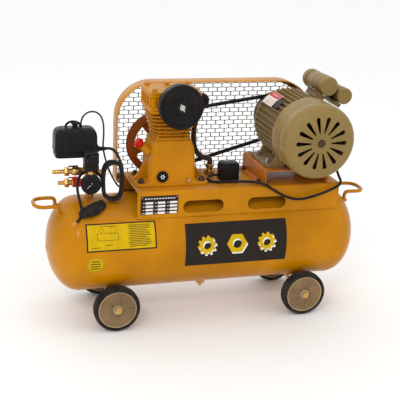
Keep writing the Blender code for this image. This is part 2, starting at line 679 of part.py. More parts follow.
def build_fan_cowl():
    centre = (MOTOR_X, 0, MOTOR_Z)
    wall = 2.5
    shell = [(0, COWL_FRONT), (86, COWL_FRONT), (100, COWL_FRONT + 7), (COWL_R, COWL_FRONT + 26),
             (COWL_R, COWL_REAR), (COWL_R - wall, COWL_REAR), (COWL_R - wall, COWL_FRONT + 27),
             (85, COWL_FRONT + wall), (0, COWL_FRONT + wall)]
    slots, near, far, near_r, far_r = 14, 31.0, 71.0, 2.2, 6.2
    cuts = []
    for i in range(slots):
        turn = 2 * math.pi * i / slots
        tip = [(far + far_r * math.cos(a), far_r * math.sin(a)) for a in
               (math.radians(-90 + 60 * k) for k in range(4))]
        tail = [(near, near_r), (near, -near_r)]
        spun = [(MOTOR_X + u * math.cos(turn) - v * math.sin(turn), MOTOR_Z + u * math.sin(turn) + v * math.cos(turn))
                for u, v in tip + tail]
        cuts.append(prism(spun, COWL_FRONT - 3, COWL_FRONT + 6))
    cuts.append(cylinder(12, COWL_FRONT - 3, COWL_FRONT + 6, "Y", centre, 16))
    piece("fan_cowl", turned(shell, "Y", centre, 32), KHAKI, cuts=cuts)


def build_capacitors():
    big_r, small_r = 28.5, 24.5
    big, small = (350.0, 692.0), (403.0, 662.0)
    for name, (x, z), radius, front, rear in (("capacitor_large", big, big_r, -62, 82),
                                             ("capacitor_small", small, small_r, -62, 36)):
        ends = 4.0
        can = [(0, front), (radius - ends, front), (radius, front + ends), (radius, rear - ends),
               (radius - ends, rear), (0, rear)]
        piece(name, turned(can, "Y", (x, 0, z), 20), KHAKI)
    reach = Vector((big[0] - MOTOR_X, big[1] - MOTOR_Z))
    out = reach.normalized()
    side = Vector((out.y, -out.x))
    shelf = reach.length - big_r - GAP
    away = Vector((small[0] - MOTOR_X, small[1] - MOTOR_Z))
    post = away.dot(out) - small_r - 0.6
    along = away.dot(side)
    steps = [(FIN_TIP_R + 1, -14), (shelf - 3.7, -14), (shelf - 3.7, -28), (shelf, -28), (shelf, along - 11),
             (post, along - 11), (post, along + 11), (shelf - 3.7, along + 11), (shelf - 3.7, 14),
             (FIN_TIP_R + 1, 14)]
    outline = [(MOTOR_X + u * out.x + v * side.x, MOTOR_Z + u * out.y + v * side.y) for u, v in steps]
    piece("capacitor_bracket", prism(outline, -50, 26), KHAKI)


def build_junction_box():
    low = SADDLE_TOP + GAP
    piece("junction_box", box((38, -34, low), (96, 6, low + 52)), PLASTIC)


# ---- pressure controls ----
def build_controls():
    foot = TANK_Z + TANK_R + GAP
    pipe = turned([(0, foot), (12, foot), (12, foot + 8), (9, foot + 8), (9, SWITCH_BOX[0][2] - GAP),
                   (0, SWITCH_BOX[0][2] - GAP)], "Z", (STACK_X, 0, 0), 16)
    block = box((STACK_X - 13, -13, 404), (STACK_X + 13, 13, 462))
    neck = cylinder(7, -37.7, -5, "Y", (STACK_X - 4, 0, 475), 12)
    piece("manifold", pipe, BRASS, adds=(block, neck))

    low, high = (Vector(corner) for corner in SWITCH_BOX)
    middle = (low + high) / 2
    half = (high - low) / 2
    count = 16
    loops = [at(rounded(half.x - inset, half.y - inset, 9, count), z, "Z", (middle.x, middle.y, 0))
             for inset, z in ((4, low.z), (0, low.z + 4), (0, high.z - 14), (4, high.z - 5), (12, high.z))]
    piece("pressure_switch", loft(loops), PLASTIC, adds=(relief((high.x, -18, 516), (1, 0, 0), -305 - high.x),))
    knob = [(0, high.z + GAP), (8, high.z + GAP), (8, high.z + 8), (11, high.z + 9), (11, high.z + 15), (0, high.z + 15)]
    piece("switch_knob", turned(knob, "Z", (middle.x, 0, 0), 16), PLASTIC, origin=(middle.x, 0, high.z))

    reg_x = STACK_X - 5
    body = box((reg_x - 20, -76, 466), (reg_x + 20, -38, 520))
    piece("regulator", body, PLASTIC)
    dial = [(0, -76.3), (15, -76.3), (17, -79), (17, -92), (14, -95), (0, -95)]
    piece("regulator_knob", turned(dial, "Y", (reg_x, 0, 500), 20), PLASTIC, origin=(reg_x, -76, 500))
    face = turned([(0, -48), (27, -48), (29, -50), (29, -64), (26, -67), (0, -67)], "Y", (reg_x, 0, 425), 28)
    stem = cylinder(6, 443, 465.7, "Z", (reg_x, -57, 0), 12)
    piece("pressure_gauge", face, PLASTIC, adds=(stem,))


def build_outlets():
    wall = STACK_X - 13 - GAP
    for label, z, tip, mat in (("upper", 447.0, -456.0, PLASTIC), ("lower", 413.5, -440.0, RED)):
        tail = [(0, wall), (8, wall), (12, wall - 14), (12, wall - 36), (8, wall - 38), (8, wall - 46),
                (13, wall - 46), (13, wall - 58), (7, wall - 58), (7, tip), (0, tip)]
        ball_x = wall - 25
        neck = cylinder(4.5, z + 8, z + 13, "Z", (ball_x, 0, 0), 12)
        piece(f"outlet_valve_{label}", turned(tail, "X", (0, 0, z), 12), BRASS, adds=(neck,))
        pad = cylinder(7, z + 13.3, z + 16.5, "Z", (ball_x, 0, 0), 12)
        lever = box((ball_x - 22, -4, z + 13.5), (ball_x + 4, 4, z + 16))
        piece(f"valve_lever_{label}", pad, mat, origin=(ball_x, 0, z + 13), adds=(lever,))


def build_safety_valve():
    wall = STACK_X + 13 + GAP
    body = [(0, wall), (7, wall), (7, wall + 6), (10, wall + 7), (10, wall + 22), (5, wall + 24), (5, wall + 30),
            (7, wall + 30), (7, wall + 33), (0, wall + 33)]
    piece("safety_valve", turned(body, "X", (0, 0, 440), 16), BRASS)


# ---- leads ----
MOTOR_LEAD = ((382.7, 39.7, 517.5), (391, 39.6, 511.8), (399, 31, 499), (403, 8, 479), (403, -30, 450), (399, -72, 426), (390, -112, 408),
              (352, -118, 390), (300, -119, 374), (255, -119, 368), (215, -118, 378), (180, -116, 397),
              (150, -111, 415), (128, -96, 419), (100, -74, 416), (70, -62, 414), (42, -60, 414), (20, -60, 414),
              (4, -53.5, 414.5), (-3, -37, 416), (4, -20.5, 418.5), (20, -14, 421), (29, -14, 421.5), (37.7, -14, 421.5))
SWITCH_LEAD = ((-372, 12, 577.6), (-371, 12, 590), (-365, 11, 605), (-350, 10, 616), (-331, 9, 616),
               (-316, 8, 604), (-309, 6, 582), (-308, 3, 552), (-310, 0, 520), (-306, -4, 490), (-297, -10, 458),
               (-284, -14, 428), (-268, -12, 402), (-246, -6, 386), (-222, 0, 380), (-190, 4, 380), (-150, 6, 380))
CORD_LEAD = ((-304.6, -18, 516), (-296, -18, 516), (-286, -21.5, 513), (-279, -29, 507), (-276, -38, 499),
             (-275.5, -43, 489.2))
CORD_HANK = ((-324.0, -69.0, 368.0), (-260.0, -24.0, 491.0))
CORD_TAIL = ((-328.7, -33, 446), (-333, -31, 450), (-341, -28.5, 453), (-352, -27.5, 454), (-364, -28, 453),
             (-376, -32, 448), (-386, -40, 439), (-392, -50, 425), (-393, -60, 409), (-391, -69, 392),
             (-388, -77, 376), (-386, -85, 360), (-388, -93, 345), (-394, -99, 335.5), (-402, -104, 329.5))


def build_leads():
    tube("motor_lead", smooth_path(MOTOR_LEAD, 2), 4.0, BLACK, 2)
    tube("switch_lead", smooth_path(SWITCH_LEAD, 2), 2.6, LEAD, 2)
    tube("power_cord_lead", smooth_path(CORD_LEAD, 3), 4.0, BLACK, 2)
    tube("power_cord_tail", smooth_path(CORD_TAIL, 2), 4.0, BLACK, 2)
    low, high = CORD_HANK
    half_x, steps = (high[0] - low[0]) / 2, 8
    mid_x = (high[0] + low[0]) / 2
    top = [(mid_x + half_x * math.cos(math.pi * i / steps), high[2] - half_x + half_x * math.sin(math.pi * i / steps))
           for i in range(steps + 1)]
    bottom = [(mid_x - half_x * math.cos(math.pi * i / steps), low[2] + half_x - half_x * math.sin(math.pi * i / steps))
              for i in range(steps + 1)]
    piece("power_cord_hank", prism(top + bottom, low[1], high[1]), BLACK)


build_tank()
build_handles()
build_legs()
build_axles()
build_wheels()
build_drain_cock()
build_saddle()
build_motor_base()
build_crankcase()
build_oil_and_glass()
build_cylinder()
build_head()
build_running_gear()
build_air_filter()
build_discharge()
build_flywheel()
build_motor_pulley()
build_belt()
build_guard()
build_motor_frame()
build_motor_inside()
build_fan_cowl()
build_capacitors()
build_junction_box()
build_controls()
build_outlets()
build_safety_valve()
build_leads()
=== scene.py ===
"""Looks of the belt-driven air compressor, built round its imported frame.

Shapes are drawn in millimetres from the tank's axis plane (y = 0), in the frame's axes, and make()
turns them into metres.  Each piece rides on a body of the frame.
"""
import math

import bmesh
import bpy
from mathutils import Matrix, Vector, noise

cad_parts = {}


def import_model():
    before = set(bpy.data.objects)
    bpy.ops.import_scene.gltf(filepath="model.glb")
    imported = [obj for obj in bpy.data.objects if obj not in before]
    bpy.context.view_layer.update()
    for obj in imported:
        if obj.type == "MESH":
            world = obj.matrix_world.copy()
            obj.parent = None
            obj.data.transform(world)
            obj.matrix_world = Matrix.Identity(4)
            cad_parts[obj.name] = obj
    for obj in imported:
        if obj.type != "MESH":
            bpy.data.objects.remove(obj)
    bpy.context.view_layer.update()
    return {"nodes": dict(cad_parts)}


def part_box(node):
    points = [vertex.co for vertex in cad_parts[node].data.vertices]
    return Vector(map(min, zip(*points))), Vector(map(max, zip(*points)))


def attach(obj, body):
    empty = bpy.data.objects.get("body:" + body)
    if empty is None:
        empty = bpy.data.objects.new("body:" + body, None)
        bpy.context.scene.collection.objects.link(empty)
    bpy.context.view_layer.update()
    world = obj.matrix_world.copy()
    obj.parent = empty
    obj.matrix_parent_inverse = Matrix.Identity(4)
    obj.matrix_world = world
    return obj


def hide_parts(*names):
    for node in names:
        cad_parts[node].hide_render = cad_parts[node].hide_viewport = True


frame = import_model()

MM = 0.001
AXIS_Y = sum(corner.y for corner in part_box("tank_shell")) / 2
TO_WORLD = Matrix.Translation((0, AXIS_Y, 0)) @ Matrix.Scale(MM, 4)


def extent(node):
    """A CAD node's lowest and highest corners, in millimetres from the tank's axis plane."""
    return tuple(TO_WORLD.inverted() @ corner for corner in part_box(node))


def middle(node):
    low, high = extent(node)
    return (low + high) / 2


# ---- driving dimensions, from the frame where it has them ----
TANK_LOW, TANK_HIGH = extent("tank_shell")
TANK_R = (TANK_HIGH.z - TANK_LOW.z) / 2
TANK_Z = (TANK_HIGH.z + TANK_LOW.z) / 2
TANK_DOME = 89.0
TANK_HALF = TANK_HIGH.x - TANK_DOME
SADDLE_LOW, SADDLE_HIGH = extent("saddle")
PUMP = middle("flywheel")
PUMP_X = PUMP.x
BASE_LOW, BASE_HIGH = extent("motor_base")
MOTOR = middle("fan_cowl")
WHEEL_R = extent("tyre_front_left")[1].z / 2
WHEEL_X = middle("tyre_front_right").x
CORNERS = [(sx, sy) for sx in (-1, 1) for sy in (-1, 1)]
SWITCH_WALL = -330.0
GUARD_LOW, GUARD_HIGH = extent("guard_frame")


# ---- materials ----
class Nodes:
    """A short way to write a material's node tree."""

    def __init__(self, name, roughness=0.5, metallic=0.0, **sockets):
        self.mat = bpy.data.materials.new(name)
        self.mat.use_nodes = True
        self.tree = self.mat.node_tree
        self.shader = self.tree.nodes["Principled BSDF"]
        self.shader.inputs["Roughness"].default_value = roughness
        self.shader.inputs["Metallic"].default_value = metallic
        for key, value in sockets.items():
            self.shader.inputs[key.replace("_", " ")].default_value = value
        self.place = self.add("ShaderNodeTexCoord").outputs["Object"]

    def add(self, kind, links=(), **props):
        node = self.tree.nodes.new(kind)
        for key, value in props.items():
            setattr(node, key, value)
        for socket, value in dict(links).items():
            if isinstance(value, bpy.types.NodeSocket):
                self.tree.links.new(value, node.inputs[socket])
            else:
                node.inputs[socket].default_value = value
        return node

    def noise(self, scale, detail=4.0, stretch=None, rough=0.55):
        place = self.place
        if stretch:
            place = self.add("ShaderNodeMapping", {"Vector": place, "Scale": stretch}).outputs[0]
        return self.add("ShaderNodeTexNoise", {"Vector": place, "Scale": scale, "Detail": detail,
                                               "Roughness": rough}).outputs["Fac"]

    def remap(self, value, low, high, to_low=0.0, to_high=1.0):
        return self.add("ShaderNodeMapRange", {"Value": value, "From Min": low, "From Max": high,
                                               "To Min": to_low, "To Max": to_high}).outputs[0]

    def mix(self, factor, first, second, blend="MIX"):
        node = self.add("ShaderNodeMix", data_type="RGBA", blend_type=blend)
        for socket, value in ((node.inputs[0], factor), (node.inputs[6], first), (node.inputs[7], second)):
            if isinstance(value, bpy.types.NodeSocket):
                self.tree.links.new(value, socket)
            else:
                socket.default_value = value if isinstance(value, float) else (*value[:3], 1.0)
        return node.outputs[2]

    def math(self, operation, first, second=0.0):
        return self.add("ShaderNodeMath", {0: first, 1: second}, operation=operation).outputs[0]

    def colour(self, value):
        self.tree.links.new(value, self.shader.inputs["Base Color"])

    def rough(self, value):
        self.tree.links.new(value, self.shader.inputs["Roughness"])

    def bump(self, height, strength, distance):
        self.normal = self.add("ShaderNodeBump", {"Height": height, "Strength": strength,
                                                  "Distance": distance}).outputs[0]
        self.tree.links.new(self.normal, self.shader.inputs["Normal"])

    def upward(self):
        """How far the surface faces up, from 0 to 1."""
        normal = self.add("ShaderNodeTexCoord").outputs["Normal"]
        return self.add("ShaderNodeSeparateXYZ", {0: normal}).outputs[2]

    def edges(self, radius):
        """1 on outside and inside edges, 0 on flats."""
        soft = self.add("ShaderNodeBevel", {"Radius": radius}, samples=4).outputs[0]
        true = self.add("ShaderNodeNewGeometry").outputs["Normal"]
        along = self.add("ShaderNodeVectorMath", {0: soft, 1: true}, operation="DOT_PRODUCT").outputs["Value"]
        return self.remap(along, 0.995, 0.90)


def enamel(name, base, rough=0.28, peel=0.12, worn=None, wear=0.0, dust=0.10, coat=0.05):
    """Sprayed gloss paint: orange peel, uneven film, settled dust and chipped edges."""
    n = Nodes(name, rough, Coat_Weight=coat, Coat_Roughness=0.12, Specular_IOR_Level=0.10)
    deep = [c * 0.74 for c in base]
    light = [min(1.0, c * 1.16) for c in base]
    tone = n.mix(n.remap(n.noise(5.0, 5.0), 0.3, 0.7), deep, light)
    tone = n.mix(n.remap(n.noise(160.0, 3.0), 0.60, 0.80, 0.0, 0.25), tone, [c * 0.55 for c in base])
    settled = n.math("MULTIPLY", n.remap(n.upward(), 0.55, 1.0),
                     n.remap(n.noise(38.0, 6.0), 0.35, 0.7, 0.2, 1.0))
    tone = n.mix(n.math("MULTIPLY", settled, dust), tone, (0.50, 0.42, 0.30))
    if wear:
        chips = n.math("MULTIPLY", n.edges(0.0018), n.remap(n.noise(210.0, 6.0), 0.52, 0.60))
        tone = n.mix(n.math("MULTIPLY", chips, wear), tone, worn or (0.10, 0.06, 0.035))
    n.colour(tone)
    n.rough(n.remap(n.noise(22.0, 6.0), 0.2, 0.8, rough * 0.75, rough * 1.5))
    n.bump(n.noise(420.0, 2.0), peel, 0.0006)
    return n.mat


def casting(name, base, rough=0.5, metallic=0.0, grain=0.35, scale=520.0, wear=0.0):
    """Painted or bare casting with a sandy skin."""
    n = Nodes(name, rough, metallic, Specular_IOR_Level=0.10)
    tone = n.mix(n.remap(n.noise(9.0, 6.0), 0.3, 0.7), [c * 0.7 for c in base],
                 [min(1, c * 1.2) for c in base])
    tone = n.mix(n.remap(n.noise(240.0, 4.0), 0.55, 0.75, 0.0, 0.4), tone, [c * 0.45 for c in base])
    if wear:
        rub = n.math("MULTIPLY", n.edges(0.0016), n.remap(n.noise(150.0, 5.0), 0.45, 0.60))
        tone = n.mix(n.math("MULTIPLY", rub, wear), tone, (0.34, 0.30, 0.25))
    n.colour(tone)
    n.rough(n.remap(n.noise(60.0, 5.0), 0.3, 0.7, rough * 0.8, min(1.0, rough * 1.25)))
    n.bump(n.noise(scale, 4.0), grain, 0.0008)
    return n.mat


def plastic(name, base, rough=0.4, grain=0.2, dust=0.25):
    """Moulded plastic with a fine spark-eroded grain and dust on its upper faces."""
    n = Nodes(name, rough, Specular_IOR_Level=0.10)
    tone = n.mix(n.remap(n.noise(14.0, 5.0), 0.3, 0.7), [c * 0.75 for c in base],
                 [min(1, c * 1.25) for c in base])
    settled = n.math("MULTIPLY", n.remap(n.upward(), 0.3, 1.0), n.remap(n.noise(70.0, 7.0), 0.4, 0.75))
    tone = n.mix(n.math("MULTIPLY", settled, dust), tone, (0.20, 0.17, 0.13))
    n.colour(tone)
    n.rough(n.remap(n.noise(45.0, 5.0), 0.3, 0.7, rough * 0.8, rough * 1.3))
    n.bump(n.noise(900.0, 2.0), grain, 0.0004)
    return n.mat


def rubber(name, base, rough=0.62, dust=0.35, weave=0.0, tint=(0.16, 0.13, 0.10)):
    """Black rubber, greyed where dust has rubbed in; weave gives it a fabric cover."""
    n = Nodes(name, rough, Sheen_Weight=0.05, Sheen_Roughness=0.5, Specular_IOR_Level=0.10)
    rubbed = n.remap(n.noise(32.0, 7.0, rough=0.65), 0.42, 0.78, 0.0, dust)
    tone = n.mix(rubbed, base, tint)
    height = n.noise(700.0, 3.0)
    if weave:
        across = n.add("ShaderNodeTexWave", {"Vector": n.place, "Scale": 360.0, "Distortion": 0.4},
                       wave_type="BANDS", bands_direction="DIAGONAL").outputs["Fac"]
        tone = n.mix(n.math("MULTIPLY", across, weave), tone, [c * 2.2 for c in base])
        height = n.math("ADD", height, n.math("MULTIPLY", across, 0.8))
    n.colour(tone)
    n.rough(n.remap(n.noise(90.0, 4.0), 0.3, 0.7, rough * 0.85, min(1.0, rough * 1.2)))
    n.bump(height, 0.3, 0.0005)
    return n.mat


def bright(name, base, rough=0.28, brushed=(1, 1, 1), tarnish=0.35, dark=(0.09, 0.05, 0.02)):
    """Turned or plated metal with tool marks and tarnish."""
    n = Nodes(name, rough, 1.0)
    stain = n.remap(n.noise(65.0, 7.0, rough=0.65), 0.48, 0.75, 0.0, tarnish)
    n.colour(n.mix(stain, base, dark))
    marks = n.noise(500.0, 3.0, stretch=brushed)
    n.rough(n.remap(marks, 0.3, 0.7, rough * 0.7, rough * 1.6))
    n.bump(marks, 0.12, 0.0003)
    return n.mat


def printed(name, ink, rough=0.35):
    """Printed vinyl: one ink with a slightly uneven film."""
    n = Nodes(name, rough, Coat_Weight=0.04, Coat_Roughness=0.2, Specular_IOR_Level=0.10)
    n.colour(n.mix(n.remap(n.noise(40.0, 6.0), 0.35, 0.7), [c * 0.88 for c in ink],
                   [min(1, c * 1.06) for c in ink]))
    n.rough(n.remap(n.noise(25.0, 5.0), 0.3, 0.7, rough * 0.8, rough * 1.3))
    n.bump(n.noise(260.0, 3.0), 0.06, 0.0004)
    return n.mat


YELLOW = enamel("yellow_enamel", (0.50, 0.196, 0.0), rough=0.18, wear=0.0, dust=0.04)
YELLOW_PART = enamel("yellow_enamel_worn", (0.49, 0.192, 0.0), rough=0.24, wear=0.8, dust=0.08)
YELLOW_CAST = enamel("yellow_enamel_cast", (0.51, 0.196, 0.0), rough=0.30, peel=0.4, wear=0.5, dust=0.08)
ORANGE = enamel("orange_enamel", (0.46, 0.125, 0.004), rough=0.38, wear=0.9, worn=(0.20, 0.17, 0.14),
                dust=0.2)
KHAKI = enamel("khaki_enamel", (0.255, 0.175, 0.060), rough=0.26, peel=0.2, wear=0.35, dust=0.12)
KHAKI_CAST = enamel("khaki_cast", (0.22, 0.145, 0.055), rough=0.40, peel=0.45, wear=0.5, dust=0.2)
# Very dark brown, for the disc in the fan cowl's centre hole.
KHAKI_DARK = casting("khaki_dark_centre", (0.060, 0.038, 0.022), 0.5)
BROWN = casting("flywheel_paint", (0.26, 0.062, 0.008), 0.45, wear=0.3)
# Dark red that stands in for the shade at the belt guard's bottom: painted shade.
GUARD_BOTTOM_SHADE = enamel("guard_bottom_painted_shade", (0.15, 0.028, 0.010), rough=0.5, wear=0.3, coat=0.1)
TAUPE = plastic("hub_plastic", (0.25, 0.165, 0.085), 0.45, dust=0.1)
TAUPE_PALE = plastic("hub_plastic_rim", (0.40, 0.295, 0.17), 0.4, dust=0.05)
TYRE = rubber("tyre_rubber", (0.012, 0.010, 0.009), 0.66, dust=0.3)
BELT = rubber("belt_cover", (0.010, 0.009, 0.009), 0.7, dust=0.25, weave=0.5)
CABLE = rubber("cable_sheath", (0.009, 0.008, 0.008), 0.40, dust=0.15)
BROWN_LEAD = rubber("brown_lead", (0.055, 0.018, 0.012), 0.4, dust=0.3)
PIPE = rubber("coated_pipe", (0.035, 0.014, 0.010), 0.38, dust=0.3)
PLASTIC = plastic("black_plastic", (0.010, 0.009, 0.009), 0.34, dust=0.12)
PLASTIC_SATIN = plastic("black_plastic_satin", (0.014, 0.012, 0.012), 0.42, grain=0.4, dust=0.15)
RED = plastic("red_plastic", (0.50, 0.008, 0.004), 0.28, dust=0.02)
BRASS = bright("turned_brass", (0.60, 0.37, 0.12), 0.3)
STEEL = bright("zinc_steel", (0.52, 0.51, 0.48), 0.32, tarnish=0.3, dark=(0.15, 0.12, 0.09))
DARK_STEEL = bright("black_bolt_steel", (0.10, 0.075, 0.06), 0.42, tarnish=0.6, dark=(0.04, 0.02, 0.015))
COPPER = bright("bare_copper", (0.80, 0.45, 0.22), 0.25)
IRON = casting("grey_iron", (0.17, 0.145, 0.12), 0.55, 0.7)
WIRE = casting("guard_wire", (0.030, 0.022, 0.018), 0.5)
WHITE_INK = printed("ink_white", (0.78, 0.77, 0.74))
GREY_INK = printed("ink_grey", (0.13, 0.12, 0.11))
BLACK_INK = printed("ink_black", (0.020, 0.014, 0.012))
YELLOW_INK = printed("ink_yellow", (0.60, 0.385, 0.0))
RED_INK = printed("ink_red", (0.55, 0.03, 0.03))
GLASS = bright("sight_glass_star", (0.75, 0.76, 0.78), 0.2, tarnish=0.2)


# ---- shapes ----
def axis_point(axis, centre, radius, angle, along):
    a, b = radius * math.cos(angle), radius * math.sin(angle)
    offset = {"X": (along, a, b), "Y": (a, along, b), "Z": (a, b, along)}[axis]
    return Vector(centre) + Vector(offset)


def loft(bm, loops, ring=False, material=0):
    """A skin through loops of equal length, or of one point, capped unless it is a ring."""
    rows = [[bm.verts.new(point) for point in loop] for loop in loops]
    made = []
    for low, high in list(zip(rows, rows[1:])) + ([(rows[-1], rows[0])] if ring else []):
        count = max(len(low), len(high))
        for i in range(count):
            j = (i + 1) % count
            corners = [low[i % len(low)], low[j % len(low)], high[j % len(high)], high[i % len(high)]]
            made.append(bm.faces.new(list(dict.fromkeys(corners))))
    if not ring:
        made += [bm.faces.new(row) for row in (rows[0], rows[-1]) if len(row) > 2]
    for face in made:
        face.material_index = material
    return [vertex for row in rows for vertex in row]


def turned(bm, profile, axis="Y", centre=(0, 0, 0), segments=64, ring=False, material=0, wave=None):
    """A profile of (radius, distance along) turned about an axis; wave(angle, radius, along) moves radii."""
    loops = []
    for radius, along in profile:
        count = segments if radius > 0 else 1
        loop = []
        for i in range(count):
            angle = 2 * math.pi * i / segments
            moved = radius + (wave(angle, radius, along) if wave else 0)
            loop.append(axis_point(axis, centre, moved, angle, along))
        loops.append(loop)
    return loft(bm, loops, ring, material)


def rod(bm, radius, low, high, axis="Y", centre=(0, 0, 0), segments=24, edge=0.0, material=0):
    """A cylinder with its end edges eased."""
    ease = [(radius - edge, low), (radius, low + edge), (radius, high - edge), (radius - edge, high)]
    sides = ease if edge else [(radius, low), (radius, high)]
    return turned(bm, [(0, low)] + sides + [(0, high)], axis, centre, segments, material=material)


def prism(bm, outline, low, high, plane="XZ", material=0):
    def place(a, b, c):
        return {"XZ": (a, c, b), "YZ": (c, a, b), "XY": (a, b, c)}[plane]
    return loft(bm, [[place(a, b, c) for a, b in outline] for c in (low, high)], material=material)


def block(bm, low, high, material=0):
    outline = [(low[0], low[1]), (high[0], low[1]), (high[0], high[1]), (low[0], high[1])]
    return prism(bm, outline, low[2], high[2], "XY", material)


def rounded(half_x, half_y, radius, per_corner=6):
    """Points round a rectangle with round corners, about the origin."""
    points = []
    for corner, (sx, sy) in enumerate(((1, 1), (-1, 1), (-1, -1), (1, -1))):
        for i in range(per_corner):
            angle = math.pi / 2 * (corner + i / (per_corner - 1))
            points.append((sx * (half_x - radius) + radius * math.cos(angle),
                           sy * (half_y - radius) + radius * math.sin(angle)))
    return points


def at(points, along, axis="Z", centre=(0, 0, 0)):
    cx, cy, cz = centre
    return [{"X": (cx + along, cy + a, cz + b), "Y": (cx + a, cy + along, cz + b),
             "Z": (cx + a, cy + b, cz + along)}[axis] for a, b in points]


def arc(centre, radius, start, end, steps):
    """Points on an arc, angles in degrees."""
    return [(centre[0] + radius * math.cos(math.radians(start + (end - start) * i / steps)),
             centre[1] + radius * math.sin(math.radians(start + (end - start) * i / steps)))
            for i in range(steps + 1)]


def smooth_path(points, steps=4):
    """A Catmull-Rom curve through the points."""
    knots = [Vector(p) for p in points]
    knots = [2 * knots[0] - knots[1]] + knots + [2 * knots[-1] - knots[-2]]
    path = []
    for a, b, c, d in zip(knots, knots[1:], knots[2:], knots[3:]):
        for i in range(steps):
            t = i / steps
            path.append(0.5 * (2 * b + (c - a) * t + (2 * a - 5 * b + 4 * c - d) * t ** 2
                               + (3 * b - a - 3 * c + d) * t ** 3))
    return path + [knots[-2]]


def sweep(bm, path, radius, sides=12, material=0):
    """A round rod along a path; radius may be a function of the share of the way along."""
    path = [Vector(p) for p in path]
    loops, across = [], None
    for i, point in enumerate(path):
        along = (path[min(i + 1, len(path) - 1)] - path[max(i - 1, 0)]).normalized()
        if across is None:
            across = along.orthogonal().normalized()
        across = (across - along * across.dot(along)).normalized()
        up = along.cross(across)
        size = radius(i / (len(path) - 1)) if callable(radius) else radius
        loops.append([point + size * (across * math.cos(a) + up * math.sin(a))
                      for a in (2 * math.pi * k / sides for k in range(sides))])
    return loft(bm, loops, material=material)


def spin(bm, vertices, axis, angle, centre):
    """Turns vertices about an axis through a point, by degrees."""
    turn = Matrix.Translation(centre) @ Matrix.Rotation(math.radians(angle), 4, axis) @ \
        Matrix.Translation(-Vector(centre))
    bmesh.ops.transform(bm, matrix=turn, verts=vertices)


def hexagon(flats, turn=0.0):
    tip = flats / math.sqrt(3)
    return [(tip * math.cos(math.pi * i / 3 + turn),
             tip * math.sin(math.pi * i / 3 + turn)) for i in range(6)]


def bolt(bm, centre, axis, flats, head, washer=0.0, sign=1, material=0, stud=0.0):
    """A hexagon head standing off a face at centre, with a chamfer, a washer and a stud if asked."""
    along = 0.0
    if washer:
        rod(bm, washer, *sorted((0.0, sign * 1.4)), axis, centre, 24, 0.3, material)
        along = 1.4
    turn = 0.3 * (centre[0] + centre[2]) % 1.0
    small, full = hexagon(flats * 0.90, turn), hexagon(flats, turn)
    loft(bm, [at(full, sign * along, axis, centre), at(full, sign * (along + head * 0.78), axis, centre),
              at(small, sign * (along + head), axis, centre)], material=material)
    if stud:
        low, high = sorted((sign * along, sign * (along + head + stud)))
        rod(bm, flats * 0.27, low, high, axis, centre, 16, 0.6, material)


# ---- pieces ----
def make(name, bm, materials, body="machine", nodes=(), bevel=0.0, smooth=35, cuts=None):
    """Turns a bmesh in millimetres into a finished piece that rides on a body."""
    materials = materials if isinstance(materials, (list, tuple)) else [materials]

    def mesh_of(label, shape):
        bmesh.ops.recalc_face_normals(shape, faces=shape.faces)
        bmesh.ops.transform(shape, matrix=TO_WORLD, verts=shape.verts)
        mesh = bpy.data.meshes.new(label)
        shape.to_mesh(mesh)
        shape.free()
        return mesh

    obj = bpy.data.objects.new(name, mesh_of(name, bm))
    bpy.context.scene.collection.objects.link(obj)
    for material in materials:
        obj.data.materials.append(material)
    if cuts is not None:
        tool = bpy.data.objects.new(name + "_tool", mesh_of(name + "_tool", cuts))
        bpy.context.scene.collection.objects.link(tool)
        modifier = obj.modifiers.new("cut", "BOOLEAN")
        modifier.operation, modifier.solver, modifier.object = "DIFFERENCE", "EXACT", tool
        modifier.use_self = True
        bpy.context.view_layer.update()
        graph = bpy.context.evaluated_depsgraph_get()
        mesh = bpy.data.meshes.new_from_object(obj.evaluated_get(graph))
        obj.modifiers.clear()
        obj.data = mesh
        bpy.data.objects.remove(tool, do_unlink=True)
    obj.data.shade_smooth()
    obj.data.set_sharp_from_angle(angle=math.radians(smooth))
    if bevel:
        ease = obj.modifiers.new("edges", "BEVEL")
        ease.width, ease.segments = bevel * MM, 2
        ease.limit_method, ease.angle_limit = "ANGLE", math.radians(40)
        ease.harden_normals = True
    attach(obj, body)
    if nodes:
        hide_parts(*nodes)
    return obj


def dress(node, material, bevel=0.0):
    """A CAD node that stays, with its material and eased edges."""
    obj = frame["nodes"][node]
    obj.data.materials.clear()
    obj.data.materials.append(material)
    if bevel:
        ease = obj.modifiers.new("edges", "BEVEL")
        ease.width, ease.segments = bevel * MM, 2
        ease.limit_method, ease.angle_limit = "ANGLE", math.radians(40)


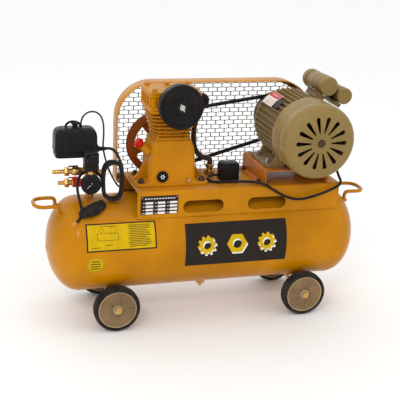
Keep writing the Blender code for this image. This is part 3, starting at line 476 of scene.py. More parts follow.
# ---- camera, floor and light ----
def build_stage():
    scene = bpy.context.scene
    azimuth, elevation, roll = math.radians(-17.428), math.radians(18.7115), math.radians(2.7052)
    distance, lens = 2.78195, 83.215
    target = Vector((-0.012665, AXIS_Y, 0.339369))
    back = Vector((math.sin(azimuth) * math.cos(elevation), -math.cos(azimuth) * math.cos(elevation),
                   math.sin(elevation)))
    level = Vector((math.cos(azimuth), math.sin(azimuth), 0))
    upright = level.cross(-back)
    right = math.cos(roll) * level + math.sin(roll) * upright
    up = -math.sin(roll) * level + math.cos(roll) * upright
    data = bpy.data.cameras.new("camera")
    data.lens, data.sensor_width = lens, 36.0
    camera = bpy.data.objects.new("camera", data)
    facing = Matrix((right, up, back)).transposed().to_4x4()
    camera.matrix_world = Matrix.Translation(target + back * distance) @ facing
    scene.collection.objects.link(camera)
    scene.camera = camera

    bm = bmesh.new()
    bmesh.ops.create_grid(bm, x_segments=1, y_segments=1, size=9.0)
    mesh = bpy.data.meshes.new("floor")
    bm.to_mesh(mesh)
    bm.free()
    floor = bpy.data.objects.new("floor", mesh)
    floor.location.z = -0.0005
    scene.collection.objects.link(floor)
    n = Nodes("floor", 0.7)
    n.colour(n.mix(n.noise(3.0), (0.90, 0.90, 0.90), (0.93, 0.93, 0.93)))
    mesh.materials.append(n.mat)

    world = bpy.data.worlds.new("studio")
    world.use_nodes = True
    sky = world.node_tree.nodes["Background"]
    sky.inputs["Color"].default_value = (1.0, 1.0, 1.0, 1.0)
    sky.inputs["Strength"].default_value = 1.04
    scene.world = world
    for name, place, size, power in (("key", (-1.6, -2.6, 2.6), 0.6, 24.0),
                                     ("fill", (2.6, -1.9, 1.7), 0.8, 5.0),
                                     ("top", (0.3, 0.3, 3.2), 1.6, 6.0),
                                     ("rear", (-0.6, 2.8, 1.8), 1.6, 5.0)):
        lamp = bpy.data.lights.new(name, "AREA")
        lamp.shape, lamp.size, lamp.energy, lamp.color = "SQUARE", size, power, (1.0, 0.93, 0.82)
        obj = bpy.data.objects.new(name, lamp)
        obj.location = place
        obj.rotation_euler = (Vector((0, 0, 0.35)) - Vector(place)).to_track_quat("-Z", "Y").to_euler()
        scene.collection.objects.link(obj)
    scene.view_settings.view_transform = "Standard"
    scene.view_settings.look = "None"


build_stage()


# ---- tank ----
def tank_radius(x):
    depth = max(0.0, abs(x) - TANK_HALF) / TANK_DOME
    return TANK_R * math.sqrt(max(0.0, 1 - depth * depth))


def on_tank(x, angle, lift=0.0):
    """A point on the tank, its angle in degrees up from the -Y side."""
    radius = tank_radius(x) + lift
    turn = math.radians(angle)
    return (x, -radius * math.cos(turn), TANK_Z + radius * math.sin(turn))


def build_tank():
    steps = 26
    half = [(TANK_R * math.cos(math.pi / 2 * i / steps),
             TANK_HALF + TANK_DOME * math.sin(math.pi / 2 * i / steps))
            for i in range(steps)] + [(0.0, TANK_HALF + TANK_DOME)]
    profile = [(radius, -along) for radius, along in reversed(half)]
    profile += [(TANK_R, -TANK_HALF + TANK_HALF * 2 * i / 12) for i in range(1, 12)] + half
    bm = bmesh.new()
    turned(bm, profile, "X", (0, 0, TANK_Z), 144)
    make("tank_body", bm, YELLOW, nodes=("tank_shell",), smooth=60)

    bm = bmesh.new()
    for side in (-1, 1):
        bead = [(TANK_R - 1.5, side * TANK_HALF + 5 * k / 6 * side) for k in (-4, 4)]
        crown = [(TANK_R + 0.9 * math.sin(math.pi * i / 6),
                  side * (TANK_HALF - 3.2 + 6.4 * i / 6)) for i in range(7)]
        turned(bm, [bead[0]] + crown + [bead[1]], "X", (0, 0, TANK_Z), 240, ring=True,
               wave=lambda angle, radius, along: 0.18 * math.sin(96 * angle + 0.6 * math.sin(7 * angle)))
    seam = TANK_HALF - 4
    loft(bm,
         [[on_tank(x, 196 + turn, lift) for turn, lift in ((-1.6, -1), (-1.1, 0.5), (0, 1.0), (1.1, 0.5),
                                                           (1.6, -1))]
              for x in (seam * (i / 60 - 1) for i in range(121))])
    make("tank_welds", bm, YELLOW, smooth=60)
    dress("drain_cock", BRASS, 0.4)
    bm = bmesh.new()
    rod(bm, 15, TANK_Z - TANK_R - 0.2, TANK_Z - TANK_R + 4, "Z", segments=32, edge=1.0)
    for x in (-TANK_HALF - TANK_DOME, TANK_HALF + TANK_DOME):
        inward = math.copysign(1, -x)
        low, high = sorted((x - inward * 0.5, x + inward * 6))
        rod(bm, 13, low, high, "X", (0, 0, TANK_Z - 6), 32, 1.5)
    make("tank_bosses", bm, YELLOW_PART)


def patch(bm, x0, x1, a0, a1, lift, thick=0.35, material=0):
    """A thin sheet wrapped on the tank."""
    steps = max(2, round(abs(a1 - a0) / 2.5))
    loft(bm,
         [[on_tank(x0, a, lift), on_tank(x1, a, lift), on_tank(x1, a, lift + thick),
           on_tank(x0, a, lift + thick)]
              for a in (a0 + (a1 - a0) * i / steps for i in range(steps + 1))], material=material)


def wrapped_ring(bm, x, angle, outer, inner, lift, thick=0.35, count=72, material=0):
    """A flat ring wrapped on the tank; outer and inner are radii or functions of the angle round it."""
    def spot(radius, turn, height):
        size = radius(turn) if callable(radius) else radius
        rise = math.degrees(size * math.sin(turn) / TANK_R)
        return on_tank(x + size * math.cos(turn), angle + rise, height)
    loft(bm,
         [[spot(outer, t, lift), spot(outer, t, lift + thick), spot(inner, t, lift + thick),
           spot(inner, t, lift)]
              for t in (2 * math.pi * i / count for i in range(count))], ring=True, material=material)


def gear(radius, teeth, depth):
    return lambda turn: radius + depth * max(-1.0, min(1.0, 3.2 * math.sin(teeth * turn)))


def hex_nut(radius):
    return lambda turn: radius * math.cos(math.pi / 6) / math.cos((turn % (math.pi / 3)) - math.pi / 6)


def build_tank_labels():
    """Vinyl labels with plain bars and drawings where the maker's print would be."""
    bm = bmesh.new()
    x0, x1, a0, a1 = -379.0, -178.0, 8.5, 41.5
    patch(bm, x0, x1, a0, a1, 0.25, 0.3, 0)
    patch(bm, x0 + 4, x1 - 4, a0 + 1.6, a1 - 1.6, 0.4, 0.3, 1)
    for row in range(13):
        start = -258 + 2.5 * math.sin(row * 2.3)
        stop = -192 - (14 if row in (3, 7, 12) else 3 * (1 + math.sin(row * 1.7)))
        angle = 37.6 - row * 2.05
        patch(bm, start, stop, angle - 0.36, angle + 0.36, 0.55, 0.3, 2)
    for angle, start, stop in ((37.5, -338, -292), (15.5, -325, -305), (13.2, -366, -340)):
        patch(bm, start, stop, angle - 0.3, angle + 0.3, 0.55, 0.3, 2)
    for angle in (21.0, 29.0):
        patch(bm, -348, -288, angle, angle + 0.4, 0.55, 0.3, 2)
    for x in (-348, -288):
        patch(bm, x - 0.5, x + 0.5, 21.0, 29.4, 0.55, 0.3, 2)
    for x, size in ((-336, 6.5), (-302, 9.5)):
        wrapped_ring(bm, x, 33.0, size, size - 0.9, 0.55, 0.3, 40, 2)
    make("instruction_label", bm, [BLACK_INK, YELLOW_INK, BLACK_INK], smooth=60)

    bm = bmesh.new()
    wrapped_ring(bm, -354, -7.5, 25.5, 0.6, 0.25, 0.3, 56, 0)
    wrapped_ring(bm, -354, -7.5, 23.4, 22.4, 0.45, 0.3, 56, 1)
    for row, half in enumerate((12, 15, 15, 12)):
        angle = -3.2 - row * 3.1
        patch(bm, -354 - half, -354 + half, angle - 0.5, angle + 0.5, 0.45, 0.3, 1)
    make("round_sticker", bm, [YELLOW_INK, BLACK_INK], smooth=60)

    bm = bmesh.new()
    patch(bm, -92, 220, -18, 35, 0.25, 0.3, 0)
    for x, outer, inner in ((-28, gear(25, 10, 3.2), 12.0), (64, hex_nut(31.0), 14.0),
                            (156, gear(25, 10, 3.2), 12.0)):
        wrapped_ring(bm, x + 3.0, 6.0, outer, inner, 0.45, 0.3, 120, 2)
        wrapped_ring(bm, x, 8.0, outer, inner, 0.7, 0.3, 120, 1)
    make("tank_banner", bm, [BLACK_INK, YELLOW_INK, WHITE_INK], smooth=60)


# ---- handles, legs and wheels ----
def build_handles():
    for sign, label in ((-1, "left"), (1, "right")):
        low, high = extent(f"handle_{label}")
        reach = max(abs(low.x), abs(high.x)) - 5.5
        level, side, root_x = high.z - 5.5, 40.0, 442.0
        foot = TANK_Z + math.sqrt(tank_radius(root_x) ** 2 - side ** 2) + 3.0
        half = [(root_x, -side, foot), (root_x + 1, -side, level - 14), (root_x + 3, -side, level - 6),
                (root_x + 11, -side, level), (reach - 24, -side, level), (reach - 8, -side + 8, level),
                (reach, -14, level), (reach, 0, level)]
        points = half + [(x, -y, z) for x, y, z in reversed(half[:-1])]
        bm = bmesh.new()
        sweep(bm, smooth_path([(sign * x, y, z) for x, y, z in points], 6), 5.5, 16)
        for y in (-side, side):
            turned(bm, [(0, foot + 5), (6.2, foot + 4), (9.5, foot - 1), (11.0, foot - 6), (0, foot - 6)],
                   "Z",
                   (sign * root_x, y, 0), 28, wave=lambda a, r, z: 0.5 * math.sin(9 * a) * (r > 7))
        make(f"carry_handle_{label}", bm, YELLOW_PART, nodes=(f"handle_{label}",), smooth=60)


def build_legs():
    out, thick, steps = extent("leg_left")[1].y, 4.0, 24
    shoulder, hem = 116.0, extent("leg_left")[0].z

    def under(radius, reach):
        ys = [reach * (2 * i / steps - 1) for i in range(steps + 1)]
        return [(y, TANK_Z - math.sqrt(radius ** 2 - y * y)) for y in ys]

    outline = ([(-out, hem), (-out, shoulder - 4), (2 - out, shoulder)] + under(TANK_R + 0.4, 78.0)
               + [(out - 2, shoulder), (out, shoulder - 4), (out, hem), (out - thick, hem),
                  (out - thick, shoulder - thick)] + under(TANK_R + 0.4 + thick, 76.0)[::-1]
               + [(thick - out, shoulder - thick), (thick - out, hem)])
    for sign, label in ((-1, "left"), (1, "right")):
        low, high = extent(f"leg_{label}")
        bm = bmesh.new()
        prism(bm, outline, low.x, high.x, "YZ")
        make(f"leg_strap_{label}", bm, YELLOW_PART, nodes=(f"leg_{label}",), bevel=0.9)
        axle_low, axle_high = extent(f"axle_{label}")
        centre = (sign * WHEEL_X, 0, WHEEL_R)
        bm = bmesh.new()
        rod(bm, 6, axle_low.y + 4, axle_high.y - 4, "Y", centre, 28, 0.8)
        for side in (-1, 1):
            end = axle_low.y if side < 0 else axle_high.y
            face = end - side * 6.1
            loft(bm,
                 [at(hexagon(17.5, 0.2), face, "Y", centre), at(hexagon(19.0, 0.2), face + side * 0.8, "Y",
                                                                centre),
                      at(hexagon(19.0, 0.2), face + side * 4.9, "Y", centre),
                      at(hexagon(16.5, 0.2), face + side * 6.1, "Y", centre)])
        make(f"axle_and_nuts_{label}", bm, BRASS, nodes=(f"axle_{label}",), bevel=0.25)


def build_tyre(bm, side, centre, inner, width):
    """A tyre's section turned about its axle, with staggered cogs cut into each shoulder."""
    lugs, per_lug, rim = 44, 6, 56.6

    def cog(angle, radius, along):
        if radius < 62:
            return 0.0
        across = side * (along - inner) / width
        shoulder = min(1.0, max(0.0, abs(across - 0.5) * 3.2 - 0.25))
        phase = (angle * lugs / (2 * math.pi) + (0.5 if across > 0.5 else 0.0)) % 1.0
        return -2.0 * shoulder * (phase > 0.66)

    shape = [(rim, 1.0), (60, 0.2), (63.5, 0.4), (66.3, 2.6), (67.4, 6.5), (68, 10.5), (68, 15.0),
             (66.9, 15.6),
             (66.9, 18.4), (68, 19.0), (68, 23.5), (67.4, 27.5), (66.3, 31.4), (63.5, 33.6), (62.6, 33.75),
             (62.2, 33.3), (61.2, 33.3), (60.8, 33.8), (58.5, 33.6), (rim, 32.8)]
    profile = [(radius, inner + side * across * width / 34.0) for radius, across in shape]
    turned(bm, profile, "Y", centre, lugs * per_lug, True, wave=cog)


def build_hub(bm, side, centre, out):
    """A moulded hub disc: pairs of heavy ribs between fine ones, plain ribs behind and two pale rims."""
    disc = [(6.4, 100), (6.4, out + 1.6), (9.5, out + 1.6), (9.8, out + 0.6), (13.5, out + 0.6),
            (14.5, out - 0.2),
            (16, out - 5), (49.0, out - 6), (51.5, out - 4.2), (53.0, out - 2.2), (55.4, out - 2.0),
            (56.3, out - 3),
            (56.3, out - 31), (51, out - 32), (49, out - 11), (14, out - 11), (14, 100)]
    turned(bm, [(r, side * y) for r, y in disc], "Y", centre, 96, True)

    def rib(near, reach, half, y0, y1, angle):
        bar = prism(bm, [(near, -half), (reach, -half), (reach, half), (near, half)],
                    *sorted((side * y0, side * y1)))
        bmesh.ops.translate(bm, vec=centre, verts=bar)
        spin(bm, bar, "Y", angle, centre)

    face = out - 5.9
    for i in range(45):
        near, reach, tall, half = (15.0, 51.5, 2.9, 1.5) if i % 9 in (0, 1) else (17.5, 50.8, 1.5, 0.75)
        rib(near, reach, half, face - 1.2, face + tall, 8 * i + {0: 1.6, 1: -1.6}.get(i % 9, 0))
    for i in range(8):
        rib(13.5, 50, 1.3, 104, out - 11.5, 45 * i)
    outer_rim = [(52.9, out - 2.6), (53.2, out - 1.7), (55.2, out - 1.5), (56.2, out - 2.8), (54, out - 3.4)]
    inner_rim = [(9.6, out + 0.2), (9.9, out + 1.9), (12.9, out + 1.5), (14.4, out), (13, out - 1)]
    for profile, segments in ((outer_rim, 96), (inner_rim, 48)):
        turned(bm, [(r, side * y) for r, y in profile], "Y", centre, segments, True, material=1)


def build_wheels():
    for row, side in (("front", -1), ("rear", 1)):
        for end, sign in (("left", -1), ("right", 1)):
            place, body = f"{row}_{end}", f"wheel_{row}_{end}"
            low, high = extent(f"tyre_{place}")
            inner, outer = (high.y, low.y) if side < 0 else (low.y, high.y)
            centre = (sign * WHEEL_X, 0, WHEEL_R)
            bm = bmesh.new()
            build_tyre(bm, side, centre, inner, abs(outer - inner))
            make(f"tyre_tread_{place}", bm, TYRE, body, (f"tyre_{place}",), smooth=32)
            bm = bmesh.new()
            build_hub(bm, side, centre, abs(outer))
            make(f"hub_disc_{place}", bm, [TAUPE, TAUPE_PALE], body, (f"wheel_hub_{place}",),
                 smooth=32)


# ---- saddle and motor base ----
def build_saddle():
    inner = SADDLE_HIGH.y - 3.0
    hem, bend, top = SADDLE_LOW.z, 6.0, SADDLE_HIGH.z

    def corner(sign, radius):
        points = arc((SADDLE_HIGH.y - bend, top - bend), radius, 90, 0, 6)
        return [(sign * y, z) for y, z in points]

    outline = ([(-SADDLE_HIGH.y, hem)] + corner(-1, bend)[::-1] + corner(1, bend)
               + [(SADDLE_HIGH.y, hem), (inner, hem)]
               + corner(1, bend - 3)[::-1] + corner(-1, bend - 3) + [(-inner, hem)])
    cuts = bmesh.new()
    slot_r, slot_z = 18.0, 357.0
    for x0, x1 in ((-94.0, 28.0), (103.0, 222.0)):
        shape = arc((x1 - slot_r, slot_z), slot_r, -90, 90, 16) + arc((x0 + slot_r, slot_z), slot_r, 90,
                                                                      270, 16)
        prism(cuts, shape, -SADDLE_HIGH.y - 10, SADDLE_HIGH.y + 10)
    bm = bmesh.new()
    prism(bm, outline, SADDLE_LOW.x, SADDLE_HIGH.x, "YZ")
    make("saddle_plate", bm, YELLOW_PART, nodes=("saddle",), cuts=cuts, bevel=0.7)

    bm = bmesh.new()
    front = -SADDLE_HIGH.y
    for x0, x1 in ((-222, -172), (-60, -5), (82, 100), (228, 290), (330, 384)):
        for side in (-1, 1):
            path = [(x, side * (SADDLE_HIGH.y - 0.6), hem + 0.6 + 0.5 * math.sin(x * 1.1)) for x in
                    (x0 + (x1 - x0) * i / 30 for i in range(31))]
            sweep(bm, path, lambda t: 1.9 + 0.35 * math.sin(70 * t), 10)
    make("saddle_welds", bm, YELLOW_PART, smooth=60)

    bm = bmesh.new()
    x0, x1, z0, z1 = -220.0, -110.0, 340.0, 395.0
    block(bm, (x0, front - 0.9, z0), (x1, front - 0.1, z1), 0)
    for column in range(3):
        left = x0 + 9 + column * 35.5
        for row in range(4):
            z = z1 - 20.5 - row * 10.2
            block(bm, (left + 5, front - 1.15, z - 3.1), (left + 27, front - 0.6, z + 3.1), 1)
            block(bm, (left - 3, front - 1.1, z - 0.9), (left + 2, front - 0.6, z + 0.9), 1)
    for i in range(11):
        block(bm, (x0 + 12 + i * 8.3, front - 1.1, z1 - 9.2), (x0 + 17.5 + i * 8.3, front - 0.6, z1 - 6.4), 1)
    for x in (x0 + 4, x1 - 4):
        for z in (z0 + 4, z1 - 4):
            turned(bm, [(0, front - 2.0), (1.4, front - 1.7), (2.1, front - 0.5), (0, front - 0.4)], "Y",
                   (x, 0, z), 16,
                   material=2)
    make("data_plate", bm, [BLACK_INK, WHITE_INK, STEEL])


def build_motor_base():
    x0, x1 = BASE_LOW.x + 17, BASE_HIGH.x - 17
    top, low, wall, bend = BASE_HIGH.z, BASE_LOW.z, 4.0, 5.0
    outer = ([(x0 - 17, low), (x0 - 17, low + 3), (x0 - 2, low + 3), (x0, low + 5)]
             + arc((x0 + bend, top - bend), bend, 180, 90, 5) + arc((x1 - bend, top - bend), bend, 90, 0, 5)
             + [(x1, low + 5), (x1 + 2, low + 3), (x1 + 17, low + 3), (x1 + 17, low), (x1 - wall, low)])
    inside = (arc((x1 - bend - 1, top - bend - 1), bend - 2, 0, 90, 4)
              + arc((x0 + bend + 1, top - bend - 1), bend - 2, 90, 180, 4))
    bm = bmesh.new()
    prism(bm, outer + inside + [(x0 + wall, low)], BASE_LOW.y, BASE_HIGH.y)
    make("motor_base_channel", bm, ORANGE, nodes=("motor_base",), bevel=0.7)
    bm = bmesh.new()
    for x in (x0 - 9, x1 + 9):
        for y in (-70, 62):
            bolt(bm, (x, y, low + 3), "Z", 12, 6, 8.5, stud=3)
    make("base_bolts", bm, DARK_STEEL, bevel=0.2)


build_tank()
build_tank_labels()
build_handles()
build_legs()
build_wheels()
build_saddle()
build_motor_base()


# ---- pump ----
def oil_filler_frame():
    """Local frame whose Z axis is the oil filler's, leaning out of the crankcase's left shoulder."""
    return Matrix.Translation((PUMP_X - 76, -22, 512)) @ Matrix.Rotation(math.radians(-48), 4, "Y")


def build_crankcase():
    low, high = extent("crankcase")
    foot = SADDLE_HIGH.z + 0.3
    centre = (PUMP_X, 0, 0)
    bm = bmesh.new()
    loft(bm, [at(rounded(half_x, half_y, r, 8), z, "Z", centre) for half_x, half_y, r, z in
              ((106, 63, 12, foot), (107, 64, 12, foot + 1), (107, 64, 12, foot + 6.5),
               (105.5, 62.5, 12, foot + 8),
               (76, 59, 12, foot + 8.4), (72, 57, 13, foot + 11), (70, 56, 14, foot + 18),
               (67.5, 55.6, 14, 470),
               (65, 55, 14, 508), (63.5, 54, 14, 516), (58, 51, 14, 532), (56, 50, 13, 535.5),
               (56, 50, 13, high.z))])
    for side in (-1, 1):
        gusset = [(60, foot + 6), (103, foot + 6), (103, foot + 12), (99, foot + 15), (66, 474), (60, 482)]
        prism(bm, [(PUMP_X + side * x, z) for x, z in gusset], -6, 6)
    rod(bm, 28, 50, high.y, "Y", (PUMP_X, 0, PUMP.z), 56, 1.5)
    turned(bm, [(34, 54), (34, 60), (31, 62), (27, 62), (27, 54)], "Y", (PUMP_X, 0, PUMP.z), 56, True)
    neck = turned(bm, [(0, -14), (15, -12), (13, -2), (12, 4), (12, 13), (13.2, 14), (13.2, 16), (0, 16)],
                  "Z",
                  segments=40)
    bmesh.ops.transform(bm, matrix=oil_filler_frame(), verts=neck)
    rod(bm, 8.5, -58.2, -54, "Y", (PUMP_X + 46, 0, foot + 14), 28, 0.8)
    rod(bm, 21, -57.4, -54, "Y", (PUMP_X - 32, 0, 437), 48, 0.9)
    make("crankcase_casting", bm, YELLOW_CAST, nodes=("crankcase",), bevel=1.6, smooth=40)

    bm = bmesh.new()
    for sx, sy in CORNERS:
        bolt(bm, (PUMP_X + sx * 91, sy * 42, foot + 8), "Z", 15, 8, 10.5, stud=4)
    for i in range(6):
        angle = math.pi / 3 * i + 0.5
        bolt(bm, (PUMP_X + 39 * math.cos(angle), 54.2, PUMP.z + 39 * math.sin(angle)), "Y", 8, 4)
    make("crankcase_bolts", bm, DARK_STEEL, bevel=0.25)
    bm = bmesh.new()
    bolt(bm, (PUMP_X + 46, -58.2, foot + 14), "Y", 9.5, 5.5, 7, -1)
    make("oil_drain_plug", bm, BRASS, bevel=0.3)

    bm = bmesh.new()
    turned(bm, [(0, 16.4), (8, 16.4), (8, 20), (12.6, 20.4), (13.8, 22.5), (14, 31), (12.5, 34.6), (9, 36),
                (0, 35.4)],
           "Z", segments=72, wave=lambda a, r, z: -0.9 * (math.sin(18 * a) > 0.1) * (r > 13.3))
    bmesh.ops.transform(bm, matrix=oil_filler_frame(), verts=bm.verts)
    make("oil_filler_cap", bm, RED, nodes=("oil_plug",), smooth=45)

    glass = (PUMP_X - 32, 0, 437)
    bm = bmesh.new()
    turned(bm, [(17, -57.5), (17, -60.4), (15.8, -61.8), (11.6, -61.8), (10.6, -60.6), (10.6, -57.5)], "Y",
           glass, 48,
           True, material=0)
    turned(bm, [(10.9, -60.0), (0, -60.0)], "Y", glass, 40, material=0)
    points = [((3.4 if i % 2 else 9.6) * math.cos(math.pi * i / 6),
               (3.4 if i % 2 else 9.6) * math.sin(math.pi * i / 6))
              for i in range(12)]
    loft(bm, [at(points, -60.1, "Y", glass), at(points, -60.9, "Y", glass)], material=1)
    turned(bm, [(2.6, -60.8), (2.6, -61.4), (0, -61.6)], "Y", glass, 20, material=0)
    make("oil_sight_glass", bm, [PLASTIC, GLASS], nodes=("sight_glass",))


def build_cylinder():
    centre = (PUMP_X, 0, 0)
    low, high = extent("cylinder")
    fins, pitch, thick = 7, 11.2, 3.6
    core = rounded(40, 38, 20, 8)
    loops = [at(rounded(52, 46, 10, 8), low.z, "Z", centre),
             at(rounded(52, 46, 10, 8), low.z + 7, "Z", centre),
             at(rounded(50.5, 44.5, 10, 8), low.z + 8, "Z", centre), at(core, low.z + 9, "Z", centre)]
    for i in range(fins):
        z = low.z + 14 + i * pitch
        grow = i / (fins - 1)
        half_x, half_y = 54 + 18 * grow, 48 + 12 * grow
        top = high.z if i == fins - 1 else z + thick
        loops += [at(rounded(42, 40, 20, 8), z - 1.0, "Z", centre),
                  at(rounded(half_x - 1.4, half_y - 1.4, 15, 8), z, "Z", centre),
                  at(rounded(half_x, half_y, 16, 8), z + 0.9, "Z", centre),
                  at(rounded(half_x, half_y, 16, 8), top - 0.9, "Z", centre),
                  at(rounded(half_x - 1.4, half_y - 1.4, 15, 8), top, "Z", centre)]
        if i < fins - 1:
            loops.append(at(rounded(42, 40, 20, 8), top + 1.0, "Z", centre))
    bm = bmesh.new()
    loft(bm, loops)
    for sx, sy in CORNERS:
        rod(bm, 5.2, low.z + 4, high.z - 2, "Z", (PUMP_X + sx * 39, sy * 35, 0), 20)
    make("cylinder_fins", bm, YELLOW_CAST, nodes=("cylinder",), smooth=38)
    bm = bmesh.new()
    for sx, sy in CORNERS:
        bolt(bm, (PUMP_X + sx * 46, sy * 40, low.z + 8), "Z", 8.5, 4.5, 5.5)
    make("cylinder_nuts", bm, YELLOW_CAST, bevel=0.2)


def build_head():
    centre = (PUMP_X, 0, 0)
    low, high = extent("cylinder_head")
    base, top = low.z, high.z
    bm = bmesh.new()
    steps = ((75, 61, base), (76, 62, base + 1), (76, 62, base + 8), (75, 61, base + 9),
             (70.5, 56.5, base + 10.4),
             (70.5, 56.5, top - 16), (75, 61, top - 14.4), (76, 62, top - 13.4), (76, 62, top - 9.6),
             (75, 61, top - 9.2), (75, 61, top - 8.2), (76, 62, top - 7.8), (76, 62, top - 4.6),
             (75, 61, top - 4.2),
             (75, 61, top - 3.4), (76, 62, top - 3.0), (76, 62, top - 1), (75, 61, top))
    loft(bm, [at(rounded(half_x, half_y, 9, 8), z, "Z", centre) for half_x, half_y, z in steps])
    for x in (-62, -31, 0, 31, 62):
        for y in (-58.5, 58.5):
            block(bm, (PUMP_X + x - 3, y - 3, base + 7), (PUMP_X + x + 3, y + 3, top - 12))
    for y in (-46, -15, 16, 46):
        for x in (-72.5, 72.5):
            block(bm, (PUMP_X + x - 3, y - 3, base + 7), (PUMP_X + x + 3, y + 3, top - 12))
    rod(bm, 17, low.y, -50, "Y", (middle("air_filter_cover").x, 0, middle("air_filter_cover").z), 40, 1.2)
    rod(bm, 13, PUMP_X + 60, high.x - 5, "X", (0, 8, 655), 36, 1.0)
    rod(bm, 16.5, PUMP_X + 70, PUMP_X + 78, "X", (0, 8, 655), 36, 1.0)
    for y in (-30, 0, 30):
        block(bm, (PUMP_X - 50, y - 1.6, top - 3), (PUMP_X + 50, y + 1.6, top))
    make("head_casting", bm, YELLOW_CAST, nodes=("cylinder_head",), bevel=0.8, smooth=40)
    bm = bmesh.new()
    for x in (-60, 0, 60):
        for y in (-46, 46):
            bolt(bm, (PUMP_X + x, y, top), "Z", 12, 6.5, 9)
    make("head_bolts", bm, YELLOW_CAST, bevel=0.25)


def build_air_filter():
    low, high = extent("air_filter_cover")
    centre = ((low.x + high.x) / 2, 0, (low.z + high.z) / 2)
    radius, back, front = (high.z - low.z) / 2, high.y, low.y
    base_low, base_high = extent("air_filter_base")
    rear = base_high.y
    bm = bmesh.new()
    turned(bm, [(0, rear), (20, rear), (22, rear - 1.5), (40, rear - 4.6), (60, rear - 9), (62, rear - 11),
                (62, base_low.y + 0.5), (58, base_low.y), (56, base_low.y + 2), (0, base_low.y + 6)], "Y",
           centre, 96)
    for i in range(24):
        slot = block(bm, (centre[0] - 1.2, rear - 11, centre[2] + 24),
                     (centre[0] + 1.2, rear - 3.2, centre[2] + 58))
        spin(bm, slot, "Y", 15 * i, centre)
    make("filter_base", bm, PLASTIC_SATIN, nodes=("air_filter_base",), bevel=0.3)
    bm = bmesh.new()
    turned(bm, [(0, back), (60, back), (63, back - 1), (radius, back - 3), (radius, back - 12),
                (62.8, back - 15),
                (60, back - 16.6), (56.5, back - 16.2), (55, back - 14.8), (51.5, back - 14.6),
                (50, back - 16),
                (48.5, back - 17.6), (46, back - 18.2), (24, back - 16.4), (20, back - 16.4),
                (18, back - 18.8),
                (10, back - 19.4), (0, back - 19.4)], "Y", centre, 120,
           wave=lambda a, r, y: -0.7 * (math.sin(60 * a) > 0) * (r > radius - 0.1))
    for i in range(16):
        wide = 2.2 if i % 4 == 0 else 1.0
        rib = block(bm, (centre[0] - wide, back - 19.2, centre[2] + 18),
                    (centre[0] + wide, back - 15, centre[2] + 47))
        spin(bm, rib, "Y", 22.5 * i + 11, centre)
    make("filter_cover", bm, PLASTIC, nodes=("air_filter_cover",), bevel=0.35)
    bm = bmesh.new()
    nut = (centre[0], back - 19.4, centre[2])
    rod(bm, 8, nut[1] - 1.2, nut[1] + 0.4, "Y", (nut[0], 0, nut[2]), 32, 0.4)
    rod(bm, 4.6, nut[1] - 4.2, nut[1], "Y", (nut[0], 0, nut[2]), 24, 0.6)
    for side in (-1, 1):
        wing = prism(bm, [(2, -1.1), (9.5, -1.3), (12.5, 1.0), (11.5, 3.2), (7.5, 2.4), (2, 1.4)],
                     nut[1] - 4.3, nut[1] - 1.4)
        bmesh.ops.translate(bm, vec=(nut[0], 0, nut[2]), verts=wing)
        spin(bm, wing, "Y", 90 + (180 if side > 0 else 0) - 20, nut)
    make("filter_wing_nut", bm, STEEL, bevel=0.3)


def build_discharge():
    route = [(PUMP_X + 85.5, 8, 655), (PUMP_X + 100, 8, 655), (PUMP_X + 112, 16, 645),
             (PUMP_X + 104, 34, 610),
             (PUMP_X + 92, 50, 570), (PUMP_X + 92, 62, 520), (PUMP_X + 100, 66, 480), (PUMP_X + 120, 58, 458),
             (PUMP_X + 136, 44, 457), (PUMP_X + 140, 40, 450), (PUMP_X + 140, 40, 441)]
    path = smooth_path(route, 7)
    bm = bmesh.new()
    sweep(bm, path, 8.0, 20)
    make("discharge_tube", bm, PIPE, nodes=("discharge_pipe",), smooth=60)
    bm = bmesh.new()
    elbow = [(PUMP_X + 79, 8, 655), (PUMP_X + 92, 8, 655), (PUMP_X + 103, 9, 652.5),
             (PUMP_X + 109.5, 14, 645),
             (PUMP_X + 109, 20, 636)]
    sweep(bm, smooth_path(elbow, 5), lambda t: 12.4 if t < 0.12 or t > 0.88 else 10.6, 24)
    make("outlet_elbow", bm, PLASTIC, smooth=45)
    low, high = extent("check_valve")
    cx, cy = (low.x + high.x) / 2, (low.y + high.y) / 2
    bm = bmesh.new()
    for flats, z0, z1 in ((28, low.z, low.z + 13.5), (24, high.z - 10, high.z)):
        loft(bm, [at(hexagon(flats * 0.92), z0, "Z", (cx, cy, 0)),
                  at(hexagon(flats), z0 + 1.2, "Z", (cx, cy, 0)),
                  at(hexagon(flats), z1 - 1.2, "Z", (cx, cy, 0)),
                  at(hexagon(flats * 0.92), z1, "Z", (cx, cy, 0))])
    rod(bm, 10, low.z + 10, high.z - 6, "Z", (cx, cy, 0), 32)
    make("check_valve_body", bm, BRASS, nodes=("check_valve",), bevel=0.3)


# ---- belt drive and guard ----
BELT_T, BELT_TOP_W, BELT_BOTTOM_W = 9.0, 13.0, 8.0
FLY_BELT_R, PULLEY_BELT_R = 89.5, 64.0
BELT_Y = middle("v_belt").y


def sheave_groove(belt_r):
    """The grooved edge of a V-belt wheel, about the belt's plane, with eased rim corners."""
    top = belt_r + BELT_T / 2
    slope = (BELT_TOP_W - BELT_BOTTOM_W) / 2 / BELT_T
    outer, floor = top + 3.5, top - BELT_T - 1.5

    def half(radius):
        return BELT_TOP_W / 2 + 0.45 + slope * (radius - top)

    side = half(outer) + 3.5
    lip = [(outer - 1, -side), (outer, -side + 1), (outer, -half(outer) - 0.8), (outer - 0.8, -half(outer))]
    return side, lip + [(floor + 0.8, -half(floor)), (floor, -half(floor) + 0.8)]


def mirrored(half_profile):
    return half_profile + [(r, -y) for r, y in reversed(half_profile)]


